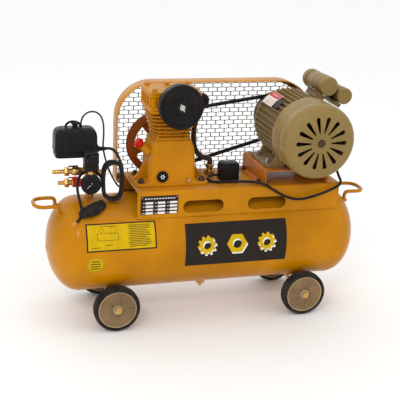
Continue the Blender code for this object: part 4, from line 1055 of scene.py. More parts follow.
def build_flywheel():
    centre = (PUMP_X, BELT_Y, PUMP.z)
    side, groove = sheave_groove(FLY_BELT_R)
    rim_inner = FLY_BELT_R - 14
    bm = bmesh.new()
    turned(bm,
           mirrored([(rim_inner - 0.5, 0), (rim_inner, -side + 1.5),
                     (rim_inner + 1.5, -side)] + groove)[:-1],
           "Y", centre, 144, True)
    turned(bm,
           mirrored([(12.3, 0), (12.3, -14), (13.3, -15), (22, -15), (24, -14), (26.5, -7), (27, 0)])[:-1],
           "Y",
           centre, 64, True)
    for i in range(5):
        sections = []
        for share in (0.0, 0.15, 0.5, 0.85, 1.0):
            reach = 22 + (rim_inner - 18) * share
            flare = 1 + 1.1 * (2 * share - 1) ** 6
            sections.append(at(rounded(5.0 * min(1.2, flare), 10.5 * flare, 3.6, 5), reach, "X"))
        spoke = loft(bm, [[(x, y, z) for x, y, z in ring] for ring in sections])
        bmesh.ops.translate(bm, vec=centre, verts=spoke)
        spin(bm, spoke, "Y", 72 * i + 20, centre)
    make("flywheel_casting", bm, BROWN, "crank", ("flywheel",), smooth=38)
    bm = bmesh.new()
    end = BELT_Y + 15
    turned(bm, [(0, end + 7.5), (6.5, end + 7.2), (8, end + 6), (9, end + 1.4), (17, end + 1.4),
                (17.4, end), (0, end)],
           "Y", (PUMP_X, 0, PUMP.z), 40)
    make("flywheel_end_bolt", bm, DARK_STEEL, "crank", bevel=0.3)
    dress("crankshaft", IRON, 0.5)
    dress("connecting_rod", IRON, 0.5)
    dress("piston", STEEL, 0.4)


def build_motor_pulley():
    centre = (MOTOR.x, BELT_Y, MOTOR.z)
    side, groove = sheave_groove(PULLEY_BELT_R)
    bm = bmesh.new()
    web = [(12.3, -15), (27, -15), (28, -14), (29, -6), (50, -5), (52, -side + 1), (54, -side)]
    turned(bm, [(12.3, 0)] + mirrored(web + groove), "Y", centre, 120, True)
    make("motor_pulley_casting", bm, IRON, "motor_shaft", ("motor_pulley",), smooth=38)
    bm = bmesh.new()
    bolt(bm, (MOTOR.x, BELT_Y + 15, MOTOR.z), "Y", 14, 6, 16)
    make("pulley_bolt", bm, STEEL, "motor_shaft", bevel=0.3)


def build_belt():
    a, b = Vector((PUMP_X, PUMP.z)), Vector((MOTOR.x, MOTOR.z))
    span = (b - a).length
    heading = math.atan2(b.y - a.y, b.x - a.x)
    wrap = math.asin((FLY_BELT_R - PULLEY_BELT_R) / span)
    loops = []
    arcs = ((a, FLY_BELT_R, heading + math.pi / 2 - wrap, math.pi + 2 * wrap, 80),
            (b, PULLEY_BELT_R, heading - math.pi / 2 + wrap, math.pi - 2 * wrap, 60))
    stations = [(c, r, start + sweep_by * i / n) for c, r, start, sweep_by, n in arcs for i in range(n + 1)]
    filled = []
    for (c0, r0, t0), (c1, r1, _) in zip(stations, stations[1:] + stations[:1]):
        filled.append((c0, r0, t0))
        if c0 is not c1:
            for i in range(1, 40):
                share = i / 40
                filled.append((c0.lerp(c1, share), r0 + (r1 - r0) * share, t0))
    half_top, half_low, mid = BELT_TOP_W / 2, BELT_BOTTOM_W / 2, BELT_T / 2
    section = [(mid, -half_top + 0.8), (mid + 0.25, 0), (mid, half_top - 0.8), (mid - 0.9, half_top),
               (mid - 2.2, half_top),
               (0.6 - mid, half_low + 0.2), (-mid, half_low - 0.5), (-mid, 0.5 - half_low),
               (0.6 - mid, -half_low - 0.2),
               (mid - 2.2, -half_top), (mid - 0.9, -half_top)]
    for centre, radius, turn in filled:
        out = Vector((math.cos(turn), math.sin(turn)))
        loops.append([(centre.x + out.x * (radius + r), BELT_Y + y, centre.y + out.y * (radius + r)) for r,
                      y in section])
    bm = bmesh.new()
    loft(bm, loops, ring=True)
    make("drive_belt", bm, BELT, nodes=("v_belt",), smooth=50)


def guard_outline(inset, steps=22):
    x0, x1, z0, z1 = GUARD_LOW.x + inset, GUARD_HIGH.x - inset, GUARD_LOW.z + inset, GUARD_HIGH.z - inset
    big, small = 112.0 - inset, max(12 - inset, 1.0)
    points = []
    for cx, cz, radius, start in ((x1 - big, z1 - big, big, 0), (x0 + big, z1 - big, big, 90),
                                  (x0 + small, z0 + small, small, 180), (x1 - small, z0 + small, small, 270)):
        points += arc((cx, cz), radius, start, start + 90, steps)
    return points


def build_guard():
    front, rear = GUARD_LOW.y, GUARD_HIGH.y
    bm = bmesh.new()
    edge = ((1.6, front), (0.5, front + 0.3), (0, front + 1.2), (0, rear - 2.5), (0.8, rear - 0.8),
            (2.5, rear),
            (13, rear), (14, rear - 1), (14, rear - 2), (4.4, rear - 2), (2.6, rear - 2.6), (2, rear - 4.4),
            (2, front + 0.6))
    loft(bm, [at(guard_outline(inset), y, "Y") for inset, y in edge], ring=True)
    for x in (GUARD_LOW.x + 12, GUARD_HIGH.x - 12):
        block(bm, (x - 9, front - 0.1, GUARD_LOW.z + 3), (x + 9, front + 30, GUARD_LOW.z + 6))
    make("guard_rim", bm, YELLOW_PART, nodes=("guard_frame",), smooth=45)

    # A thin dark red strip along the guard's floor: painted shade where the guard's bottom edge falls into
    # shadow.
    bm = bmesh.new()
    block(bm, (GUARD_LOW.x + 14, front + 0.8, GUARD_LOW.z + 2.1),
          (GUARD_HIGH.x - 14, rear - 3, GUARD_LOW.z + 3.6))
    make("guard_bottom_shade_strip", bm, GUARD_BOTTOM_SHADE, bevel=0.4)

    back = rear - 2.4
    x0, x1, z0, z1 = GUARD_LOW.x + 3, GUARD_HIGH.x - 3, GUARD_LOW.z + 3, GUARD_HIGH.z - 3
    rows, columns, big = 23, 21, 109.0
    pitch_z, pitch_x = (z1 - z0) / rows, (x1 - x0) / columns

    def reach(z):
        """How far the guard's round corners pull the mesh in at this height."""
        over = max(0.0, z - (z1 - big))
        return big - math.sqrt(max(0.0, big * big - over * over))

    bm = bmesh.new()
    for k in range(1, rows):
        z = z0 + k * pitch_z
        pull = reach(z)
        path = []
        count = columns * 4
        for i in range(count + 1):
            x = x0 + pull + (x1 - x0 - 2 * pull) * i / count
            phase = (x - x0) / pitch_x * math.pi * 2 + (math.pi if k % 2 else 0)
            path.append((x, back - 1.0 + 0.5 * math.cos(phase), z + 0.55 * math.cos(phase)))
        sweep(bm, path, 1.05, 6)
    for k in range(rows):
        low, high = z0 + k * pitch_z, z0 + (k + 1) * pitch_z
        pull = reach(high) + 1
        offset = 0.5 if k % 2 else 0.0
        for i in range(columns + 1):
            x = x0 + (i + offset) * pitch_x
            if x0 + pull < x < x1 - pull:
                sweep(bm, [(x, back - 1.2, low - 0.4), (x, back - 0.8, (low + high) / 2),
                           (x, back - 1.2, high + 0.4)],
                      1.35, 6)
    make("guard_expanded_mesh", bm, WIRE, nodes=("guard_mesh",), smooth=60)


# ---- motor ----
def build_motor():
    low, high = extent("motor_frame")
    front, rear = low.y, high.y
    centre = (MOTOR.x, 0, MOTOR.z)
    fins, root, tip = 40, 91.0, 102.0
    outline = []
    for i in range(fins):
        mid = 2 * math.pi * i / fins
        for radius, turn in ((root, -0.045), (root + 3, -0.026), (tip - 0.6, -0.017), (tip, -0.008),
                             (tip, 0.008),
                             (tip - 0.6, 0.017), (root + 3, 0.026), (root, 0.045)):
            outline.append((radius * math.cos(mid + turn), radius * math.sin(mid + turn)))
    bm = bmesh.new()
    loft(bm, [at(outline, y, "Y", centre) for y in (front, rear - 4)])
    turned(bm, [(0, rear - 8), (94, rear - 8), (96, rear - 6), (96, rear), (0, rear)], "Y", centre, 96)
    turned(bm, [(0, front + 2), (97, front + 2), (98, front + 6), (95, front + 12), (0, front + 12)], "Y",
           centre, 96)
    base = low.z
    for side in (-1, 1):
        foot = [(104, base), (105, base + 1.5), (105, base + 9.5), (103, base + 11), (86, base + 12),
                (80, base + 16),
                (66, MOTOR.z - 63), (40, MOTOR.z - 78), (34, MOTOR.z - 82), (48, base)]
        prism(bm, [(MOTOR.x + side * x, z) for x, z in foot], -78, -66)
        prism(bm, [(MOTOR.x + side * x, z) for x, z in foot], 38, 50)
        pad = [(105, base), (105, base + 10), (103, base + 11), (72, base + 11.5), (52, base + 18),
               (46, base)]
        prism(bm, [(MOTOR.x + side * x, z) for x, z in pad], -70, 42)
    make("motor_housing", bm, KHAKI_CAST, nodes=("motor_frame",), bevel=0.45, smooth=38)

    bm = bmesh.new()
    for side in (-1, 1):
        for y in (-52, 26):
            bolt(bm, (MOTOR.x + side * 92, y, base + 11), "Z", 13, 7, 9.5, stud=6)
    make("motor_foot_bolts", bm, STEEL, bevel=0.25)

    end = extent("drive_end_shield")[1].y
    bm = bmesh.new()
    turned(bm, [(12.6, rear + 0.3), (95, rear + 0.3), (96, rear + 1.3), (96, rear + 4.5), (94, rear + 6.2),
                (70, rear + 9), (36, rear + 15), (32, rear + 18), (30.5, rear + 24.6), (29, end),
                (14, end), (12.6, end - 1.4)], "Y", centre, 96, True)
    for i in range(8):
        rib = prism(bm, [(30, -2), (92, -2), (92, 2), (30, 2)], rear + 4, rear + 9.5)
        bmesh.ops.translate(bm, vec=centre, verts=rib)
        spin(bm, rib, "Y", 45 * i + 22, centre)
    make("drive_end_bell", bm, KHAKI_CAST, nodes=("drive_end_shield",), bevel=0.4, smooth=38)
    bm = bmesh.new()
    for i in range(4):
        angle = math.pi / 2 * i + math.pi / 4
        bolt(bm, (MOTOR.x + 84 * math.cos(angle), rear + 6, MOTOR.z + 84 * math.sin(angle)), "Y", 9, 5, 6.5)
    make("end_bell_bolts", bm, STEEL, bevel=0.2)
    dress("motor_rotor", IRON, 0.6)
    dress("cooling_fan", PLASTIC, 0.4)


def build_fan_cowl():
    low, high = extent("fan_cowl")
    front, rear, radius = low.y, high.y, (high.z - low.z) / 2
    centre = (MOTOR.x, 0, MOTOR.z)
    wall, round_r = 2.5, 24.0
    shoulder = [(r, front + round_r - y) for r, y in arc((radius - round_r, 0), round_r, 90, 0, 14)]
    face = [(0, front), (12, front), (26, front + 0.1), (78, front + 0.1), (81, front)]
    inside = [(radius - wall, rear), (radius - wall, front + 27), (radius - 10, front + 10),
              (radius - 26, front + wall),
              (0, front + wall)]
    profile = face + shoulder + [(radius, front + 45), (radius - 0.3, front + 46), (radius - 0.3, front + 48),
                                 (radius, front + 49), (radius, rear - 1), (radius - 0.8, rear)] + inside
    bm = bmesh.new()
    turned(bm, profile, "Y", centre, 128)
    cuts = bmesh.new()
    slots = 14
    for i in range(slots):
        shape = arc((70.0, 0), 6.4, -80, 80, 8) + [(32, 2.1)] + arc((31.5, 0), 2.1, 110, 250,
                                                                    4) + [(32, -2.1)]
        slot = prism(cuts, shape, front - 3, front + 6)
        bmesh.ops.translate(cuts, vec=centre, verts=slot)
        spin(cuts, slot, "Y", 360 * i / slots, centre)
    rod(cuts, 12.0, front - 3, front + 6, "Y", centre, 32)
    make("fan_cowl_shell", bm, KHAKI, nodes=("fan_cowl",), cuts=cuts, bevel=0.35, smooth=32)
    # A very dark brown disc recessed in the cowl's centre hole.
    bm = bmesh.new()
    rod(bm, 12.6, front + 1.2, front + 4, "Y", centre, 32, 0.8)
    rod(bm, 7.5, front + 0.6, front + 2, "Y", centre, 28, 0.5)
    make("cowl_hub_plug", bm, KHAKI_DARK)
    bm = bmesh.new()
    for i in range(3):
        angle = 2 * math.pi * i / 3 + 0.9
        head = (MOTOR.x + (radius - 0.6) * math.cos(angle), 0, MOTOR.z + (radius - 0.6) * math.sin(angle))
        screw = rod(bm, 3.6, -1.8, 0.3, "Z", (0, 0, 0), 20, 0.7)
        out = Vector((math.cos(angle), 0, math.sin(angle)))
        facing = (-out).to_track_quat("Z", "Y").to_matrix().to_4x4()
        bmesh.ops.transform(bm, matrix=Matrix.Translation((head[0], rear - 9, head[2])) @ facing, verts=screw)
    make("cowl_screws", bm, STEEL)


def motor_patch(bm, a0, a1, y0, y1, radius, thick, material=0):
    """A thin plate bent round the motor, its angles in degrees up from +X."""
    steps = max(3, round(abs(a1 - a0) / 3))
    loops = []
    for i in range(steps + 1):
        turn = math.radians(a0 + (a1 - a0) * i / steps)
        inner = (MOTOR.x + radius * math.cos(turn), MOTOR.z + radius * math.sin(turn))
        outer = (MOTOR.x + (radius + thick) * math.cos(turn), MOTOR.z + (radius + thick) * math.sin(turn))
        loops.append([(inner[0], y0, inner[1]), (inner[0], y1, inner[1]), (outer[0], y1, outer[1]),
                      (outer[0], y0, outer[1])])
    loft(bm, loops, material=material)


def build_motor_labels():
    bm = bmesh.new()
    motor_patch(bm, 116, 143, -27, 46, 102.2, 0.8, 0)
    motor_patch(bm, 116.8, 127.5, -25, 44, 102.8, 0.6, 1)
    for row in range(4):
        angle = 131 + row * 2.8
        motor_patch(bm, angle, angle + 0.9, -22, 36 - 9 * (row % 2), 102.8, 0.6, 2)
    motor_patch(bm, 120, 124, -12, 30, 103.2, 0.5, 2)
    make("motor_label", bm, [WHITE_INK, RED_INK, printed("ink_pink", (0.62, 0.25, 0.24))],
         smooth=60)
    bm = bmesh.new()
    motor_patch(bm, 122, 142, -64, -34, 102.2, 0.8, 0)
    make("motor_rating_plate", bm, BLACK_INK, smooth=60)


def build_capacitors():
    for label, seam in (("large", 0.46), ("small", 0.0)):
        low, high = extent(f"capacitor_{label}")
        cx, cz = (low.x + high.x) / 2, (low.z + high.z) / 2
        radius, front, rear = (high.z - low.z) / 2, low.y, high.y
        length = rear - front
        profile = [(0, front + 1.4), (radius - 9, front + 1.2), (radius - 6, front)]
        profile += [(r, front + 5 - y) for r, y in arc((radius - 5, 0), 5, 90, 0, 6)]
        if seam:
            at_y = front + length * seam
            profile += [(radius, at_y - 4), (radius - 1.6, at_y - 2.6), (radius - 1.6, at_y + 1),
                        (radius - 0.6, at_y + 2),
                        (radius - 0.6, at_y + 18), (radius - 1.4, at_y + 20), (radius - 1.4, rear - 5)]
        profile += [(r, rear - 5 + y) for r, y in arc((radius - 6, 0), 5, 0, 90, 6)]
        profile += [(radius - 8, rear - 1), (0, rear - 1.2)]
        bm = bmesh.new()
        turned(bm, profile, "Y", (cx, 0, cz), 72)
        make(f"capacitor_can_{label}", bm, KHAKI, nodes=(f"capacitor_{label}",), smooth=38)
        bm = bmesh.new()
        for y in (front + 26, rear - 26):
            turned(bm, [(radius, y - 4), (radius + 0.25, y - 4), (radius + 0.25, y + 4), (radius, y + 4)],
                   "Y",
                   (cx, 0, cz), 72, True)
        make(f"capacitor_strap_{label}", bm, KHAKI_CAST)
    dress("capacitor_bracket", KHAKI_CAST, 0.6)


build_crankcase()
build_cylinder()
build_head()
build_air_filter()
build_discharge()
build_flywheel()
build_motor_pulley()
build_belt()
build_guard()
build_motor()
build_fan_cowl()
build_motor_labels()
build_capacitors()


# ---- pressure controls ----
def build_pressure_switch():
    low, high = extent("pressure_switch")
    high.x = SWITCH_WALL
    cx, cy = (low.x + high.x) / 2, (low.y + high.y) / 2
    half_x, half_y = (high.x - low.x) / 2, (high.y - low.y) / 2
    bm = bmesh.new()
    steps = ((6, low.z), (3, low.z + 1), (2, low.z + 4), (2, low.z + 16), (0.6, low.z + 17), (0, low.z + 19),
             (0, low.z + 21), (0.6, low.z + 22), (0.9, low.z + 40), (1.4, high.z - 22), (3, high.z - 13),
             (7, high.z - 6), (13, high.z - 1.6), (20, high.z - 0.2), (24, high.z))
    loft(bm, [at(rounded(half_x - i, half_y - i, 12, 8), z, "Z", (cx, cy, 0)) for i, z in steps])
    for side in (-1, 1):
        for k in range(5):
            x = cx - 40 + k * 20
            block(bm, (x - 1.2, cy + side * (half_y - 0.8) - 0.9, low.z + 24),
                  (x + 1.2, cy + side * (half_y - 0.8) + 0.9, high.z - 18))
    make("switch_cover", bm, PLASTIC, nodes=("pressure_switch",), smooth=42, bevel=0.4)
    bm = bmesh.new()
    path = [(cx - 26, cy + 4, high.z - 5), (cx - 24, cy + 4, high.z + 6), (cx - 14, cy + 4, high.z + 13.5),
            (cx - 2, cy + 4, high.z + 14.5), (cx + 10, cy + 4, high.z + 11), (cx + 17, cy + 4, high.z + 2),
            (cx + 19, cy + 4, high.z - 5)]
    sweep(bm, smooth_path(path, 5), 3.5, 14)
    make("switch_handle_loop", bm, PLASTIC_SATIN, smooth=60)
    k_low, k_high = extent("switch_knob")
    kx, ky = (k_low.x + k_high.x) / 2, (k_low.y + k_high.y) / 2
    bm = bmesh.new()
    turned(bm, [(0, k_low.z), (7.6, k_low.z), (7.6, k_low.z + 8), (10.4, k_low.z + 8.4), (11, k_low.z + 9.4),
                (11, k_high.z - 1.4), (9.8, k_high.z), (0, k_high.z - 0.8)], "Z", (kx, ky, 0), 48,
           wave=lambda a, r, z: -0.6 * (math.sin(14 * a) > 0.2) * (r > 10.8))
    make("switch_pull_knob", bm, PLASTIC, "switch_button", ("switch_knob",), smooth=45)
    bm = bmesh.new()
    for y, z, reach in ((-18, 516, 5), (14, 512, 8)):
        gland = [(0, SWITCH_WALL - 1), (9, SWITCH_WALL - 1), (9, SWITCH_WALL + 4), (7.4, SWITCH_WALL + 5),
                 (7.0, SWITCH_WALL + reach),
                 (5.0, SWITCH_WALL + reach + 1.5), (0, SWITCH_WALL + reach + 1.5)]
        turned(bm, gland, "X", (0, y, z), 32, wave=lambda a, r, x: -0.5 * (math.sin(12 * a) > 0) * (r > 8.9))
    make("switch_glands", bm, PLASTIC_SATIN, smooth=45)


def build_manifold():
    low, high = extent("manifold")
    sx = (low.x + high.x) / 2
    bm = bmesh.new()
    turned(bm, [(0, low.z - 2), (12.6, low.z - 2), (12.6, low.z + 6), (10.5, low.z + 8.4), (9, low.z + 9),
                (9, high.z), (0, high.z)], "Z", (sx, 0, 0), 40)
    loft(bm, [at(rounded(13 - i, 13 - i, 3, 5), z, "Z", (sx, 0, 0)) for i, z in
              ((1.2, 404), (0, 405.2), (0, 460.8), (1.2, 462))])
    loft(bm, [at(hexagon(24), high.z - 12, "Z", (sx, 0, 0)), at(hexagon(24), high.z - 1, "Z", (sx, 0, 0))])
    rod(bm, 7, -37.5, -7, "Y", (sx - 4, 0, 475), 28)
    loft(bm, [at(hexagon(19), y, "Y", (sx - 4, 0, 475)) for y in (-24, -14)])
    make("brass_manifold", bm, BRASS, nodes=("manifold",), bevel=0.4)

    r_low, r_high = extent("regulator")
    cx, cy = (r_low.x + r_high.x) / 2, (r_low.y + r_high.y) / 2
    hx, hy = (r_high.x - r_low.x) / 2, (r_high.y - r_low.y) / 2
    bm = bmesh.new()
    loft(bm, [at(rounded(hx - i, hy - i, 3.5, 5), z, "Z", (cx, cy, 0)) for i, z in
              ((2, r_low.z), (0, r_low.z + 2), (0, r_low.z + 17), (1.2, r_low.z + 18), (1.2, r_low.z + 20),
               (0, r_low.z + 21), (0, r_high.z - 3), (3, r_high.z))])
    for x in (cx - hx + 4, cx + hx - 4):
        block(bm, (x - 1.4, r_low.y - 0.1, r_low.z + 4), (x + 1.4, r_low.y + 1, r_high.z - 4))
    make("regulator_body", bm, PLASTIC_SATIN, nodes=("regulator",), bevel=0.5)
    d_low, d_high = extent("regulator_knob")
    dx, dz, dr = (d_low.x + d_high.x) / 2, (d_low.z + d_high.z) / 2, (d_high.x - d_low.x) / 2
    bm = bmesh.new()
    turned(bm, [(0, d_high.y), (dr - 2, d_high.y), (dr - 0.4, d_high.y - 2), (dr, d_high.y - 4),
                (dr, d_low.y + 3),
                (dr - 2.4, d_low.y + 0.4), (dr - 4, d_low.y), (0, d_low.y + 0.5)], "Y", (dx, 0, dz), 96,
           wave=lambda a, r, y: -0.8 * (math.sin(24 * a) > 0) * (r > dr - 0.6))
    block(bm, (dx - 1.1, d_low.y, dz + 3), (dx + 1.1, d_low.y + 2, dz + dr - 4))
    make("regulator_dial_knob", bm, PLASTIC, "regulator_dial", ("regulator_knob",),
         smooth=45)


def build_gauge():
    low, high = extent("pressure_gauge")
    radius = (high.x - low.x) / 2
    cx, cz = (low.x + high.x) / 2, low.z + radius
    front, rear = low.y, high.y
    bm = bmesh.new()
    turned(bm, [(0, rear), (24, rear), (28, rear - 2), (radius - 0.6, rear - 4), (radius, front + 4.6),
                (radius - 0.4, front + 1.0), (radius - 1.8, front), (radius - 3.2, front + 0.4),
                (radius - 4.0, front + 2.6), (0, front + 2.8)], "Y", (cx, 0, cz), 96, material=0)
    face = front + 2.6
    for i in range(31):
        angle = math.radians(225 - 9 * i)
        inner = radius - (8.8 if i % 5 == 0 else 7.0)
        half = 0.45 if i % 5 == 0 else 0.22
        tick = prism(bm, [(inner, -half), (radius - 5.2, -half), (radius - 5.2, half), (inner, half)],
                     face - 0.25, face + 0.1, material=1)
        bmesh.ops.translate(bm, vec=(cx, 0, cz), verts=tick)
        spin(bm, tick, "Y", -math.degrees(angle), (cx, 0, cz))
    needle = prism(bm, [(-5, -0.9), (18, -0.25), (18, 0.25), (-5, 0.9)], face - 1.0, face - 0.6, material=2)
    bmesh.ops.translate(bm, vec=(cx, 0, cz), verts=needle)
    spin(bm, needle, "Y", -225, (cx, 0, cz))
    turned(bm, [(0, face - 1.6), (2.2, face - 1.4), (2.6, face - 0.2), (0, face)], "Y", (cx, 0, cz), 24,
           material=0)
    middle_y = (front + rear) / 2
    rod(bm, 6, cz + 16, high.z, "Z", (cx, middle_y, 0), 28, material=3)
    loft(bm, [at(hexagon(15), z, "Z", (cx, middle_y, 0)) for z in (cz + radius + 0.2, high.z - 4)],
         material=3)
    make("gauge", bm, [PLASTIC, GREY_INK, WHITE_INK, BRASS], nodes=("pressure_gauge",),
         bevel=0.15)


def build_outlets():
    wall = middle("manifold").x - 13.3
    for label, finish, slot in (("upper", PLASTIC, "black_plastic"), ("lower", RED, "red_plastic")):
        low, high = extent(f"outlet_valve_{label}")
        tip = low.x
        z = low.z + 13
        ball = wall - 25
        bm = bmesh.new()
        turned(bm, [(0, wall), (8, wall), (8, wall - 6), (11, wall - 10), (12.4, wall - 17),
                    (12.6, wall - 25),
                    (12.4, wall - 33), (10, wall - 37), (8, wall - 38), (8, wall - 46.5), (9, wall - 47)],
               "X",
               (0, 0, z), 44)
        loft(bm, [at(hexagon(20), wall - 1, "X", (0, 0, z)), at(hexagon(20), wall - 7, "X", (0, 0, z))])
        loft(bm, [at(hexagon(22), wall - 45, "X", (0, 0, z)), at(hexagon(23.5), wall - 46.2, "X", (0, 0, z)),
                  at(hexagon(23.5), wall - 56.6, "X", (0, 0, z)),
                  at(hexagon(21.5), wall - 58, "X", (0, 0, z))])
        tail, share = [(0, wall - 55)], tip + 1
        tail += [(6.4, wall - 56)]
        for i in range(4):
            x = wall - 60 - (wall - 60 - share) * i / 4
            step = (wall - 60 - share) / 4
            tail += [(5.4, x), (6.9, x - step * 0.25), (5.6, x - step)]
        tail += [(4.2, tip), (3.0, tip), (3.0, tip + 6), (0, tip + 6)]
        turned(bm, tail, "X", (0, 0, z), 36)
        rod(bm, 4.6, z + 8, high.z, "Z", (ball, 0, 0), 24)
        make(f"outlet_body_{label}", bm, BRASS, nodes=(f"outlet_valve_{label}",), bevel=0.35,
             smooth=40)
        if label == "lower":
            bm = bmesh.new()
            turned(bm, [(12.7, wall - 12), (14.0, wall - 12.6), (14.4, wall - 14), (14.4, wall - 33),
                        (14.0, wall - 34.4),
                        (12.4, wall - 35)], "X", (0, 0, z), 48, True,
                   wave=lambda a, r, x: -0.6 * (math.sin(16 * a) > 0) * (r > 14.2))
            make("outlet_sleeve", bm, RED, smooth=45)
        l_low, l_high = extent(f"valve_lever_{label}")
        bm = bmesh.new()
        rod(bm, 6.8, l_low.z, l_high.z - 0.4, "Z", (ball, 0, 0), 32, 0.5)
        sweep(bm, [(ball + 3, 0, l_low.z + 1.4), (ball - 6, 0, l_low.z + 1.5), (ball - 14, 0, l_low.z + 1.6),
                   (l_low.x + 0.8, 0, l_low.z + 1.6)], lambda t: 1.45 if t < 0.3 else 1.6, 12)
        outline = [(x, y) for x, y in arc((l_low.x + 4.2, 0), 4.0, 90, 270, 12)] + [(ball, -3.6), (ball, 3.6)]
        prism(bm, outline, l_low.z + 0.3, l_low.z + 2.6, "XY")
        make(f"outlet_lever_{label}", bm, finish, f"lever_{label}", (f"valve_lever_{label}",),
             bevel=0.4)

    low, high = extent("safety_valve")
    bm = bmesh.new()
    turned(bm, [(0, low.x), (7, low.x), (7, low.x + 6), (9, low.x + 6.6), (10, low.x + 7.6), (10, low.x + 21),
                (8.6, low.x + 22.6), (5, low.x + 24), (5, high.x - 3.4), (7, high.x - 3), (7, high.x - 0.6),
                (6, high.x), (0, high.x)], "X", (0, 0, 440), 40,
           wave=lambda a, r, x: -0.5 * (math.sin(20 * a) > 0) * (r > 9.9))
    loft(bm, [at(hexagon(15), low.x + 0.4, "X", (0, 0, 440)), at(hexagon(15), low.x + 5.6, "X", (0, 0, 440))])
    make("relief_valve", bm, BRASS, nodes=("safety_valve",), bevel=0.25, smooth=45)
    bm = bmesh.new()
    ring = [(high.x + 5 + 6.5 * math.cos(a), 0.0, 440 + 6.5 * math.sin(a)) for a in
            (2 * math.pi * i / 28 for i in range(29))]
    sweep(bm, ring, 0.9, 10)
    make("relief_pull_ring", bm, STEEL, smooth=60)


def build_junction_box():
    low, high = extent("junction_box")
    cx, cy = (low.x + high.x) / 2, (low.y + high.y) / 2
    hx, hy = (high.x - low.x) / 2, (high.y - low.y) / 2
    bm = bmesh.new()
    loft(bm, [at(rounded(hx - i, hy - i, 5, 6), z, "Z", (cx, cy, 0)) for i, z in
              ((1, low.z), (0, low.z + 1), (0.4, high.z - 18), (1.6, high.z - 17.5), (1.6, high.z - 16.3),
               (0.2, high.z - 16), (0.4, high.z - 4), (2.4, high.z - 1), (6, high.z))])
    for i in range(7):
        x = low.x + 8 + i * 7
        block(bm, (x, low.y - 0.1, low.z + 5), (x + 1.8, low.y + 1.4, high.z - 22))
    for x in (low.x + 8, high.x - 8):
        for y in (low.y + 8, high.y - 8):
            rod(bm, 3.2, high.z - 1.5, high.z - 0.2, "Z", (x, y, 0), 20, 0.4)
    turned(bm, [(0, low.x + 3), (9, low.x + 3), (9, low.x + 0.2), (0, low.x + 0.2)], "X", (0, -14, 421.5), 28)
    make("lead_junction_box", bm, PLASTIC, nodes=("junction_box",), bevel=0.35)


# ---- leads: routes listed in millimetres from the tank's axis plane, as the CAD has them ----
MOTOR_LEAD = ((382.7, 39.7, 517.5), (391, 39.6, 511.8), (399, 31, 499), (403, 8, 479), (403, -30, 450),
              (399, -72, 426), (390, -112, 408),
              (352, -118, 390), (300, -119, 374), (255, -119, 368), (215, -118, 378), (180, -116, 397),
              (150, -111, 415), (128, -96, 419), (100, -74, 416), (70, -62, 414), (42, -60, 414),
              (20, -60, 414),
              (4, -53.5, 414.5), (-3, -37, 416), (4, -20.5, 418.5), (20, -14, 421), (29, -14, 421.5),
              (37.7, -14, 421.5))
SWITCH_LEAD = ((-372, 12, 577.6), (-371, 12, 590), (-365, 11, 605), (-350, 10, 616), (-331, 9, 616),
               (-316, 8, 604), (-309, 6, 582), (-308, 3, 552), (-310, 0, 520), (-306, -4, 490),
               (-297, -10, 458),
               (-284, -14, 428), (-268, -12, 402), (-246, -6, 386), (-222, 0, 380), (-190, 4, 380),
               (-150, 6, 380))
CORD_LEAD = ((-304.6, -18, 516), (-296, -18, 516), (-286, -21.5, 513), (-279, -29, 507), (-275, -38, 499),
             (-271, -48, 489), (-267, -57, 475), (-265.5, -63, 460))
CORD_TAIL = ((-321, -36, 436), (-328.7, -33, 446), (-333, -31, 450), (-341, -28.5, 453), (-352, -27.5, 454),
             (-364, -28, 453),
             (-376, -32, 448), (-386, -40, 439), (-392, -50, 425), (-393, -60, 409), (-391, -69, 392),
             (-388, -77, 376), (-386, -85, 360), (-388, -93, 345), (-394, -99, 335.5), (-402, -104, 329.5))


def world(point):
    return TO_WORLD @ Vector(point)


def cable(name, path, radius, material, nodes):
    """A cord as one curve along a path in millimetres."""
    data = bpy.data.curves.new(name, "CURVE")
    data.dimensions = "3D"
    data.bevel_depth = radius * MM
    data.bevel_resolution = 5
    data.use_fill_caps = True
    spline = data.splines.new("POLY")
    spline.points.add(len(path) - 1)
    for point, place in zip(spline.points, path):
        point.co = (*world(place), 1.0)
    obj = bpy.data.objects.new(name, data)
    bpy.context.scene.collection.objects.link(obj)
    data.materials.append(material)
    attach(obj, "machine")
    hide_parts(*nodes)
    return obj


def boot(bm, wall, along, length):
    """A ribbed, tapered strain relief from a housing's wall along a lead's first stretch."""
    wall, along = Vector(wall), Vector(along).normalized()
    steps = round(length / 0.6)

    def size(share):
        gone = share * length
        groove = 0.8 if gone % 3.6 > 2.4 and share < 0.9 else 0.0
        return 8.4 if gone < 4 else 7.6 - 2.5 * share - groove

    sweep(bm, [wall + along * length * i / steps for i in range(steps + 1)], size, 28)


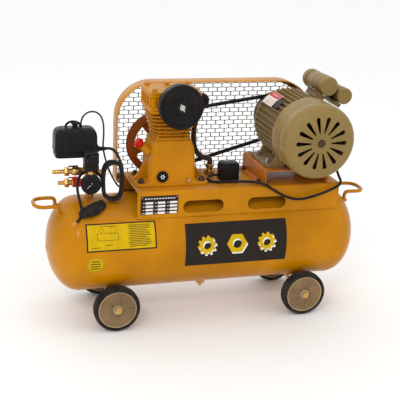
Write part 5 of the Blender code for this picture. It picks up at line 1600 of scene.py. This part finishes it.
def hank_turns():
    """The power cord's untidy hank: long loops a diameter apart, each of another width and leaning."""
    low, high = extent("power_cord_hank")
    mid_x, half = (high.x + low.x) / 2, (high.x - low.x) / 2 - 4.4
    bottom, top = low.z + 4.6, high.z - 5.0
    turns, y0, y1, per_turn = 3.5, -65.0, -36.0, 40
    count = round(turns * per_turn)
    points = []
    for i in range(count + 1):
        share = i / count
        turn = 2 * math.pi * turns * share
        loop = turns * share
        wide = half - 1.4 + 1.3 * math.cos(2.4 * loop + 0.4)
        lean = 1.4 * math.sin(2.9 * loop)
        floor_z = bottom + 9.0 * max(0.0, math.sin(1.35 * loop + 0.2)) ** 2
        roof_z = top - 11.0 * max(0.0, math.sin(1.9 * loop + 1.1)) ** 2
        straight = (roof_z - floor_z) / 2 - wide
        z = (roof_z + floor_z) / 2 - wide * math.sin(turn) - straight * math.tanh(3.2 * math.sin(turn))
        x = mid_x + wide * math.cos(turn) + lean * math.sin(turn)
        points.append((min(high.x - 4.4, max(low.x + 4.4, x)), y0 + (y1 - y0) * share, z))
    return points


def build_leads():
    cable("motor_cable", smooth_path(MOTOR_LEAD, 5), 4.0, CABLE, ("motor_lead",))
    cable("switch_cable", smooth_path(SWITCH_LEAD, 5), 2.6, BROWN_LEAD, ("switch_lead",))
    bm = bmesh.new()
    boot(bm, (-330.5, -18, 516), (1, 0, 0), 25.4)
    boot(bm, (359.5, 40, 533.4), (0.825, -0.012, -0.565), 26.9)
    make("strain_reliefs", bm, CABLE, smooth=50)
    bm = bmesh.new()
    end = Vector(CORD_TAIL[-1])
    for i, (dx, dy, dz) in enumerate(((-15, -7, -4), (-12, -12, -9), (-5, -13, -9.5))):
        middle_point = end + Vector((dx * 0.45, dy * 0.4, dz * 0.15 + 1.0))
        sweep(bm, smooth_path([end + Vector((1.5, 1 - i, 1)), middle_point, end + Vector((dx, dy, dz))], 6),
              0.95, 10)
    strands = make("bare_strands", bm, COPPER, smooth=60)
    bm = bmesh.new()
    tie_path = smooth_path([(-322, -64, 366), (-340, -78, 361), (-358, -87, 356), (-376, -90, 352),
                            (-392, -95, 344)], 12)
    sweep(bm, tie_path, lambda t: 6 + 12.5 * math.sin(math.pi * min(1.0, 0.12 + t * 0.86)) ** 0.6
          + 1.1 * math.sin(55 * t) + 0.8 * math.sin(23 * t + 1), 28)
    for vertex in bm.verts:
        vertex.co.z += 1.6 * noise.noise(vertex.co * 0.09)
    tie = make("cord_tape_wrap", bm, CABLE, smooth=60)
    path = smooth_path(CORD_LEAD, 5)[:-1] + smooth_path(hank_turns(), 1) + smooth_path(CORD_TAIL, 5)[1:]
    cable("power_cord", path, 4.0, CABLE,
          ("power_cord_lead", "power_cord_hank", "power_cord_tail"))


build_pressure_switch()
build_manifold()
build_gauge()
build_outlets()
build_junction_box()
build_leads()
